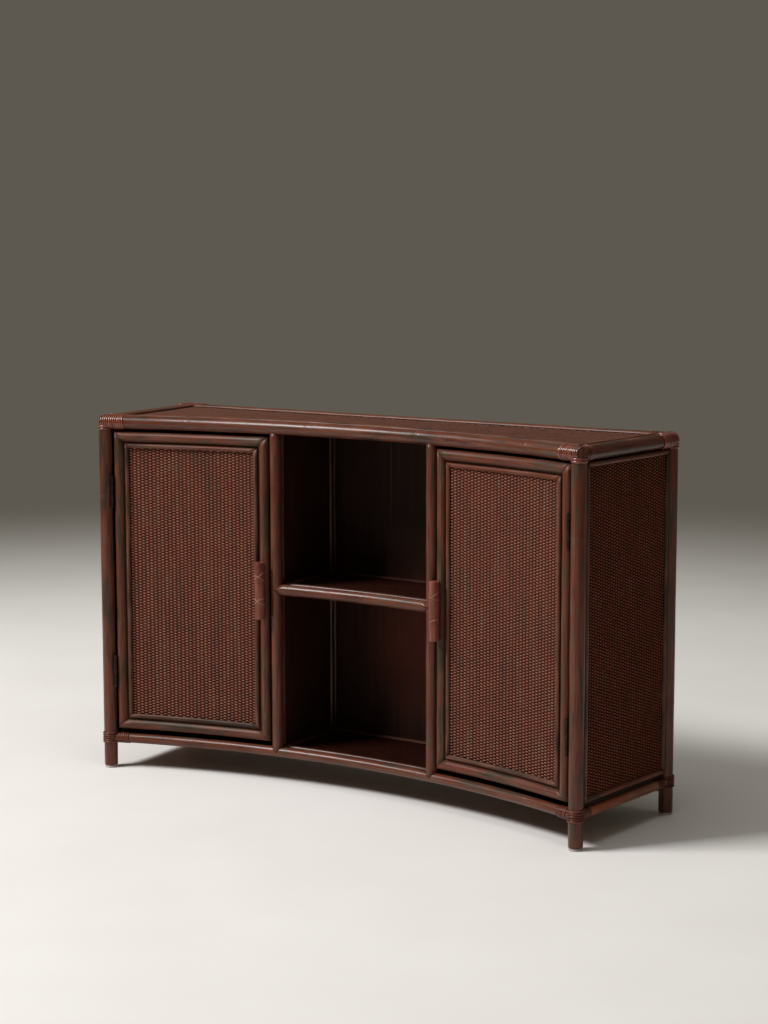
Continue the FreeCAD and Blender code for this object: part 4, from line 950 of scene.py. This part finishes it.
top_spokes = spread(-BACK_POST.x, BACK_POST.x, SPOKE_PITCH)
top_strands = spread(FRONT_POST.y, BACK_POST.y - TOP_EDGE, STRAND_PITCH)
for part, columns in enumerate(np.array_split(top_spokes, TOP_MAT_PARTS)):
    mat = woven_mat(level_mat_place(TOP_MAT_Z), columns, top_strands, inside_top)
    show(f"woven_top_{part}", mat, TOP_WEAVE, "carcass", ["top_weave"])

# Half-round beads, mitred where they meet. Their round sides face these angles.
OUTWARDS, UPWARDS, TO_FRONT = 0.0, math.pi / 2, math.pi
WALL_FACING = {1: math.pi, -1: 0.0}


def mitre(sign):
    """A mitred end: each line of the surface is moved by its own distance out from the frame."""
    return lambda a, b: sign * b


def bead(place, start, end, flat, start_cut=None, end_cut=None):
    """A half-round bead along a place."""
    return pole(place, start, end, BEAD_RADIUS, start_cut, end_cut, flat=flat, sides=BEAD_SIDES)


def standing_on_side(rail, distance, face):
    """An upright bead's place on a side, at a distance along its rail: along is up."""
    def place(along, a, b):
        return rail(distance - b, face + a, along)
    return place


for name, hand in SIDES:
    rail = side_rail_place(hand, 0.0)
    face = SIDE_FACE + MAT_THICKNESS
    ends = (SIDE_EDGE, SIDE_LENGTH - SIDE_EDGE)
    beads = [bead(shifted(rail, face, z), *ends, OUTWARDS, mitre(-sign), mitre(sign))
             for z, sign in ((SIDE_LOW, -1), (SIDE_HIGH, 1))]
    beads += [bead(standing_on_side(rail, at, face), SIDE_LOW, SIDE_HIGH, OUTWARDS, mitre(sign),
                   mitre(-sign))
              for at, sign in zip(ends, (-1, 1))]
    show(f"bead_side_{name}", together(beads), BEAD, "carcass", [f"side_beads_{name}"])

TOP_BEAD_LIFT = 0.5 * MM
FRONT_BEAD_INSET = 1.02
bead_z = TOP_MAT_Z + MAT_THICKNESS + TOP_BEAD_LIFT
taper_angle = math.atan2(BACK_POST.x - FRONT_POST.x, BACK_POST.y - FRONT_POST.y)
bead_back_x = BACK_POST.x - TOP_EDGE * (1 / math.cos(taper_angle) + math.tan(taper_angle))
bead_front_arc = POST_ARC - TOP_EDGE * FRONT_BEAD_INSET
top_beads = [
    bead(on_bow(bead_z, BOW_RADIUS + TOP_EDGE), -bead_front_arc, bead_front_arc, UPWARDS),
    bead(across_back(bead_back_x, BACK_POST.y - TOP_EDGE, bead_z), 0, 2 * bead_back_x, UPWARDS),
]
for hand in HANDS:
    place = shifted(side_rail_place(hand, bead_z), -TOP_EDGE)
    top_beads.append(bead(place, TOP_EDGE, SIDE_LENGTH - TOP_EDGE, UPWARDS))
show("bead_top", together(top_beads), BEAD, "carcass", ["top_beads"])

WALL_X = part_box("niche_shelf")[1].x + 0.2 * MM
FLOOR_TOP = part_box("bottom_panel")[1].z
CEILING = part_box("top_panel")[0].z
SHELF_LOW, SHELF_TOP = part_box("niche_shelf")[0].z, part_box("niche_shelf")[1].z
BACK_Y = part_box("back_panel")[0].y
NICHE_FRONT_ROW = (DIVIDER.y + DIVIDER_RADIUS + BEAD_GAP,)
NICHE_BACK_ROWS = (BACK_Y - 20 * MM, BACK_Y - BEAD_GAP)


def niche_beads(rows):
    """Upright beads on both walls of the niche, below and above its shelf, in rows at these depths."""
    return together([bead(upright(hand * WALL_X, y), low, high, WALL_FACING[hand])
                     for low, high in ((FLOOR_TOP, SHELF_LOW), (SHELF_TOP, CEILING))
                     for hand in HANDS for y in rows])


show("bead_niche_front", niche_beads(NICHE_FRONT_ROW), DULL_BEAD, "carcass", ["niche_beads"])
show("bead_niche_back", niche_beads(NICHE_BACK_ROWS), NICHE_BEAD, "carcass", ["niche_beads"])

# Mats on the niche's floor and shelf, with beads round them.
NICHE_FRONT_GAP = 5.5 * MM
NICHE_BEAD_LIFT = 2.5 * MM
NICHE_BEAD_INSET = 1 * MM
niche_side_x = WALL_X - BEAD_GAP
niche_back_y = BACK_Y - BEAD_GAP


def inside_niche(front_radius):
    """A test of whether a plan point is inside the line of the niche's beads."""
    def inside(u, v):
        from_bow = np.hypot(u, v - BOW_CENTRE_Y) - front_radius
        return (np.abs(u) < niche_side_x) & (from_bow > 0) & (v < niche_back_y)
    return inside


for level, level_z, rail_radius in (("floor", FLOOR_TOP, LOWER_RADIUS), ("shelf", SHELF_TOP, SHELF_RADIUS)):
    front_radius = BOW_RADIUS + rail_radius + NICHE_FRONT_GAP
    mat = woven_mat(level_mat_place(level_z), spread(-niche_side_x, niche_side_x, SPOKE_PITCH),
                    spread(DIVIDER.y, niche_back_y, STRAND_PITCH), inside_niche(front_radius))
    show(f"woven_niche_{level}", mat, NICHE_WEAVE_STAIN_AND_SHADE, "carcass", [])
    bead_level = level_z + NICHE_BEAD_LIFT
    niche_arc = (WALL_X - NICHE_BEAD_INSET) * BOW_RADIUS / front_radius
    front_edge = bead(on_bow(bead_level, front_radius), -niche_arc, niche_arc, UPWARDS)
    show(f"bead_niche_{level}_front", front_edge, NICHE_BEAD, "carcass", [])
    wall_edges = [bead(across_back(WALL_X, niche_back_y, bead_level), 0, 2 * WALL_X, UPWARDS)]
    for hand in HANDS:
        wall = lying((hand * niche_side_x, DIVIDER.y), (hand * niche_side_x, niche_back_y), bead_level)
        wall_edges.append(bead(wall, 2 * DIVIDER_RADIUS, niche_back_y - DIVIDER.y, UPWARDS))
    show(f"bead_niche_{level}_walls", together(wall_edges), DULL_BEAD, "carcass", [])

# Bindings of peel at the corners: where each begins and ends along its pole, from the post's axis.
LOWER_SIDE_BOUND = (16 * MM, 44 * MM)
LOWER_FRONT_BOUND = (16 * MM, 50 * MM)
LOWER_BACK_BOUND = (15 * MM, 44 * MM)
TOP_SIDE_BOUND = (15 * MM, 36 * MM)
TOP_BACK_BOUND = (15 * MM, 50 * MM)
OVER_CORNER_BOUND = (-13 * MM, 50 * MM)
POST_BOUND = (-14 * MM, 16 * MM)
PEEL_PITCH = 5.0 * MM
PEEL_WIDTH = 5.4 * MM
PEEL_THICKNESS = 1.6 * MM
POST_PEEL_THICKNESS = 3.4 * MM
BACK_PEEL_THICKNESS = 3.0 * MM
BACK_PEEL_PITCH = 8.2 * MM
PEEL_START = 2.0
RING_DROPS = (9.0 * MM, 14.4 * MM)
RING_THICKNESS = 2.2 * MM


def bound(place, ends, radius, thickness=PEEL_THICKNESS, ball=None, pitch=PEEL_PITCH):
    """A strip wound closely on a pole between two places along it."""
    near, far = sorted(ends)
    width = pitch * PEEL_WIDTH / PEEL_PITCH
    turns = round((far - near - width) / pitch)
    return wound_peel(place, (near + far) / 2, turns, pitch, width, thickness, radius, phase=PEEL_START,
                      ball=ball)


def along_side(hand, distance):
    """A place along a side rail behind its front post: the right rail is laid from the back."""
    return SIDE_LENGTH - distance if hand > 0 else distance


lower_strips, top_strips = [], []
for hand in HANDS:
    lower_side, top_side = side_rail_place(hand, LOWER_Z), side_rail_place(hand, TOP_Z)
    lower_strips.append(bound(lower_side, LOWER_SIDE_BOUND, LOWER_RADIUS))
    lower_strips.append(bound(lower_side, [SIDE_LENGTH - at for at in LOWER_SIDE_BOUND], LOWER_RADIUS))
    top_strips.append(bound(top_side, [along_side(hand, at) for at in TOP_SIDE_BOUND], TOP_RADIUS))
    back_ends = [along_side(hand, SIDE_LENGTH - at) for at in OVER_CORNER_BOUND]
    top_strips.append(bound(top_side, back_ends, TOP_RADIUS, BACK_PEEL_THICKNESS, (0.0, SIDE_LENGTH),
                            BACK_PEEL_PITCH))
    front_ends = [hand * (POST_ARC - at) for at in LOWER_FRONT_BOUND]
    lower_strips.append(bound(on_bow(LOWER_Z), front_ends, LOWER_RADIUS))
    corner_ends = [hand * (POST_ARC - at) for at in OVER_CORNER_BOUND]
    top_strips.append(bound(on_bow(TOP_Z), corner_ends, TOP_RADIUS, ball=(-POST_ARC, POST_ARC)))
    for strip_list, z, radius, ends in ((lower_strips, LOWER_Z, LOWER_RADIUS, LOWER_BACK_BOUND),
                                        (top_strips, TOP_Z, TOP_RADIUS, TOP_BACK_BOUND)):
        places = [at if hand < 0 else BACK_SPAN - at for at in ends]
        strip_list.append(bound(across_back(BACK_POST.x, BACK_POST.y, z), places, radius))
    for corner in (FRONT_POST, BACK_POST):
        post = upright(hand * corner.x, corner.y)
        post_ends = [LOWER_Z + at for at in POST_BOUND]
        lower_strips.append(bound(post, post_ends, POST_RADIUS, POST_PEEL_THICKNESS))
        top_strips += [ring_band(post, TOP_Z - drop, PEEL_WIDTH, RING_THICKNESS, POST_RADIUS)
                       for drop in RING_DROPS]
show("peel_corners_lower", together(lower_strips), LOW_PEEL, "carcass", ["corner_bindings_lower"])
show("peel_corners_top", together(top_strips), PEEL, "carcass", ["corner_bindings_top"])

# Foot glides, flared where they meet the floor.
glide_heights = np.array([0.0, 0.3, 1.6, 2.4, 4.2, 5.0]) * MM
glide_radii = np.array([13.6, 14.4, 14.6, 14.2, 13.6, 13.4]) * MM
glides = [turned(hand * corner.x, corner.y, glide_heights, glide_radii)
          for hand in HANDS for corner in (FRONT_POST, BACK_POST)]
show("clear_glides", together(glides), CLEAR, "carcass", ["foot_glides"])

# Doors.
DOOR_MAT_RADIUS = BOW_RADIUS - 1 * MM
BEAD_IN = DOOR_RADIUS + 9 * MM
STILE_JOINT = 0.09
HANDLE_RADIUS = 11 * MM
HANDLE_LOW, HANDLE_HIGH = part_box("door_handle_right")[0].z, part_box("door_handle_right")[1].z
HANDLE_LENGTH = HANDLE_HIGH - HANDLE_LOW
HANDLE_JOINTS = (0.13, 0.55)
HANDLE_ROUNDING = 1.4 * MM
HANDLE_OFF = 25.6 * MM
PEG_RADIUS, PEG_INSET, PEG_SIDES = 4 * MM, 4 * MM, 16
PEG_IN_HANDLE, PEG_IN_STILE = 0.5 * HANDLE_RADIUS, 0.8 * DOOR_RADIUS
TIE_DROPS = (0.25, 0.68)
TIE_TURNS, TIE_PITCH, TIE_WIDTH, TIE_THICKNESS = 1.0, 30 * MM, 3.2 * MM, 0.9 * MM
TIE_LAYERS = ((0.0, 1), (0.7 * MM, -1))


def door_mat_place(u, v, height):
    """A door mat's place: u along the bow, v up, height towards the front."""
    return on_bow(0.0, DOOR_MAT_RADIUS)(u, -height, v)


def standing_on_bow(arc, radius):
    """An upright cane's place on the bow: along is up, a points to the back and b to the left."""
    angle = arc / BOW_RADIUS

    def place(along, a, b):
        sideways = np.stack([b * math.cos(angle), -b * math.sin(angle), 0 * b], axis=-1)
        return on_bow(0.0, radius)(arc + 0 * along, a, along) - sideways
    return place


def door_frame(near, far, low, high, radius, on_radius, flat, sides):
    """Four canes round an opening on the bow, mitred at the corners: near, far, bottom and top."""
    canes = []
    for arc, sign in ((near, -1), (far, 1)):
        joints = () if flat else ((low + high) / 2 + sign * STILE_JOINT,)
        canes.append(pole(standing_on_bow(arc, on_radius), low, high, radius, mitre(sign), mitre(-sign),
                          joints=joints, flat=flat, sides=sides))
    for z, sign in ((low, -1), (high, 1)):
        canes.append(pole(on_bow(z, on_radius), near, far, radius, mitre(-sign), mitre(sign), flat=flat,
                          sides=sides))
    return canes


for name, hand in SIDES:
    body = f"door_{name}"
    near, far = sorted((hand * HANDLE_ARC, hand * HINGE_ARC))
    canes = door_frame(near, far, DOOR_LOW_Z, DOOR_HIGH_Z, DOOR_RADIUS, BOW_RADIUS, None, POLE_SIDES)
    labels = ["door_handle_stile", "door_hinge_stile"][::hand] + ["door_bottom_rail", "door_top_rail"]
    for label, cane in zip(labels, canes):
        show(f"cane_{label}_{name}", cane, DOOR_POLE, body, [f"{label}_{name}"])
    opening = (near + BEAD_IN, far - BEAD_IN, DOOR_LOW_Z + BEAD_IN, DOOR_HIGH_Z - BEAD_IN)
    beads = door_frame(*opening, BEAD_RADIUS, DOOR_MAT_RADIUS - MAT_THICKNESS, TO_FRONT, BEAD_SIDES)
    show(f"bead_door_{name}", together(beads), DOOR_BEAD, body, [f"door_beads_{name}"])
    mat = woven_mat(door_mat_place, spread(*opening[:2], SPOKE_PITCH), spread(*opening[2:], STRAND_PITCH))
    show(f"woven_door_{name}", mat, WEAVE, body, [f"door_weave_{name}"])

    angle = hand * HANDLE_ARC / BOW_RADIUS
    reach = BOW_RADIUS - HANDLE_OFF
    stile = (BOW_RADIUS * math.sin(angle), BOW_CENTRE_Y + BOW_RADIUS * math.cos(angle))
    handle = (reach * math.sin(angle), BOW_CENTRE_Y + reach * math.cos(angle))
    bar_place = upright(*handle, math.pi / 2 - angle)
    bar = pole(bar_place, HANDLE_LOW, HANDLE_HIGH, HANDLE_RADIUS, rounding=HANDLE_ROUNDING,
               joints=[HANDLE_LOW + share * HANDLE_LENGTH for share in HANDLE_JOINTS])
    pegs = [pole(lying(handle, stile, z), PEG_IN_HANDLE, HANDLE_OFF - PEG_IN_STILE, PEG_RADIUS,
                 sides=PEG_SIDES)
            for z in (HANDLE_LOW + PEG_INSET, HANDLE_HIGH - PEG_INSET)]
    show(f"cane_handle_{name}", together([bar] + pegs), HANDLE, body, [f"door_handle_{name}"])
    ties = [wound_peel(bar_place, HANDLE_HIGH - drop * HANDLE_LENGTH, TIE_TURNS, TIE_PITCH, TIE_WIDTH,
                       TIE_THICKNESS, HANDLE_RADIUS + layer, tie_hand)
            for drop in TIE_DROPS for layer, tie_hand in TIE_LAYERS]
    show(f"tie_handle_{name}", together(ties), TIE, body, [f"door_handle_ties_{name}"])

# Boards and hardware keep their CAD shapes.
KEPT = (
    (BACK_BOARD, ["back_panel"]),
    (NICHE_WALL_STAIN_AND_SHADE, ["divider_panel_left", "divider_panel_right"]),
    (NICHE_FLOOR, ["niche_shelf", "bottom_panel", "inner_shelves"]),
    (BACKING, ["top_panel", "side_panel_left", "side_panel_right"]),
    (DOOR_BOARD, ["door_panel_left", "door_panel_right"]),
    (HINGE, ["hinge_post_leaves", "door_hinge_leaves_left", "door_hinge_leaves_right"]),
    (CATCH, ["magnet_catches"]),
    (PLATE, ["door_catch_plate_left", "door_catch_plate_right"]),
)
for material, kept_nodes in KEPT:
    for node in kept_nodes:
        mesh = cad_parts[node].data
        mesh.materials.clear()
        mesh.materials.append(material)

# Floor, lights and camera.
BACKDROP = srgb(93, 89, 80)
FLOOR_REACH = 40.0
FLOOR_FADE = (1.7, 5.0)


def make_floor():
    """A plain pale floor that takes the shadow, and fades into the backdrop away from the piece."""
    corner = FLOOR_REACH * np.array([[-1, -1, 0], [1, -1, 0], [1, 1, 0], [-1, 1, 0]])
    mesh = bpy.data.meshes.new("floor")
    mesh.from_pydata(corner.tolist(), [], [[0, 1, 2, 3]])
    material, graph = new_material("pale_floor")
    place = graph.place()
    away = graph.add("ShaderNodeVectorMath", {0: place}, operation="LENGTH").outputs["Value"]
    cloud = graph.noise(place, scale=3.0, detail=4.0)
    paint = graph.add("ShaderNodeBsdfPrincipled", {
        "Base Color": graph.mixed(cloud, srgb(232, 228, 224), srgb(240, 237, 233)),
        "Roughness": graph.span(cloud, low=0.5, high=0.62), "Specular IOR Level": 0.2})
    glow = graph.add("ShaderNodeEmission", {"Color": BACKDROP, "Strength": 1.0})
    blend = graph.add("ShaderNodeMixShader", {0: graph.ramp(away, *FLOOR_FADE), 1: paint.outputs[0],
                                              2: glow.outputs[0]})
    graph.add("ShaderNodeOutputMaterial", {"Surface": blend.outputs[0]})
    mesh.materials.append(material)
    floor = bpy.data.objects.new("floor", mesh)
    bpy.context.scene.collection.objects.link(floor)


def make_world():
    """Even dim light from a plain backdrop all round."""
    world = bpy.data.worlds.new("studio")
    bpy.context.scene.world = world
    world.use_nodes = True
    world.node_tree.nodes.clear()
    graph = Graph(world.node_tree)
    light = graph.add("ShaderNodeBackground", {"Color": BACKDROP, "Strength": 1.0})
    graph.add("ShaderNodeOutputWorld", {"Surface": light.outputs[0]})


def looking(forward, roll=0.0):
    """The turn of a camera or lamp that faces along a direction, level but for a roll."""
    f = np.array(forward, float) / np.linalg.norm(forward)
    right = np.cross(f, (0, 0, 1))
    right /= np.linalg.norm(right)
    up = np.cross(right, f)
    side = right * math.cos(roll) + up * math.sin(roll)
    over = np.cross(-f, side)
    return Matrix(np.stack([side, over, -f], axis=1).tolist()).to_euler()


def soft_light(name, place, aim, width, height, power):
    """A rectangular soft box at a place, turned to face a point."""
    lamp = bpy.data.lights.new(name, "AREA")
    lamp.shape = "RECTANGLE"
    lamp.size, lamp.size_y = width, height
    lamp.energy = power
    holder = bpy.data.objects.new(name, lamp)
    bpy.context.scene.collection.objects.link(holder)
    holder.location = place
    holder.rotation_euler = looking(np.array(aim, float) - np.array(place, float))


# The key light stands to the left of the front, at about the height that the photograph's light has.
AIM = (0.0, 0.0, 0.4)
KEY_AZIMUTH, KEY_ELEVATION = math.radians(42), math.radians(45)
KEY_DISTANCE = 8.0
KEY_WIDTH, KEY_HEIGHT = 2.6, 2.0
KEY_POWER = 680
OVERHEAD_PLACE = (0.5, -0.7, 5.0)
OVERHEAD_SIZE = 2.6
OVERHEAD_POWER = 50
make_floor()
make_world()
key_level = KEY_DISTANCE * math.cos(KEY_ELEVATION)
key_place = (-key_level * math.sin(KEY_AZIMUTH), -key_level * math.cos(KEY_AZIMUTH),
             AIM[2] + KEY_DISTANCE * math.sin(KEY_ELEVATION))
soft_light("key", key_place, AIM, KEY_WIDTH, KEY_HEIGHT, KEY_POWER)
soft_light("overhead", OVERHEAD_PLACE, AIM, OVERHEAD_SIZE, OVERHEAD_SIZE, OVERHEAD_POWER)

CAMERA_PLACE = (2.669, -3.912, 1.256)
CAMERA_YAW, CAMERA_PITCH, CAMERA_ROLL = (math.radians(angle) for angle in (33.97, 7.79, -0.1))
FOCAL_PIXELS, LONG_SIDE_PIXELS, SENSOR = 2228, 1024, 36.0
camera = bpy.data.objects.new("camera", bpy.data.cameras.new("camera"))
bpy.context.scene.collection.objects.link(camera)
camera.data.sensor_width = SENSOR
camera.data.lens = SENSOR * FOCAL_PIXELS / LONG_SIDE_PIXELS
camera.location = CAMERA_PLACE
camera.rotation_euler = looking((-math.sin(CAMERA_YAW) * math.cos(CAMERA_PITCH),
                                 math.cos(CAMERA_YAW) * math.cos(CAMERA_PITCH),
                                 -math.sin(CAMERA_PITCH)), CAMERA_ROLL)
bpy.context.scene.camera = camera
bpy.context.scene.view_settings.view_transform = "Standard"
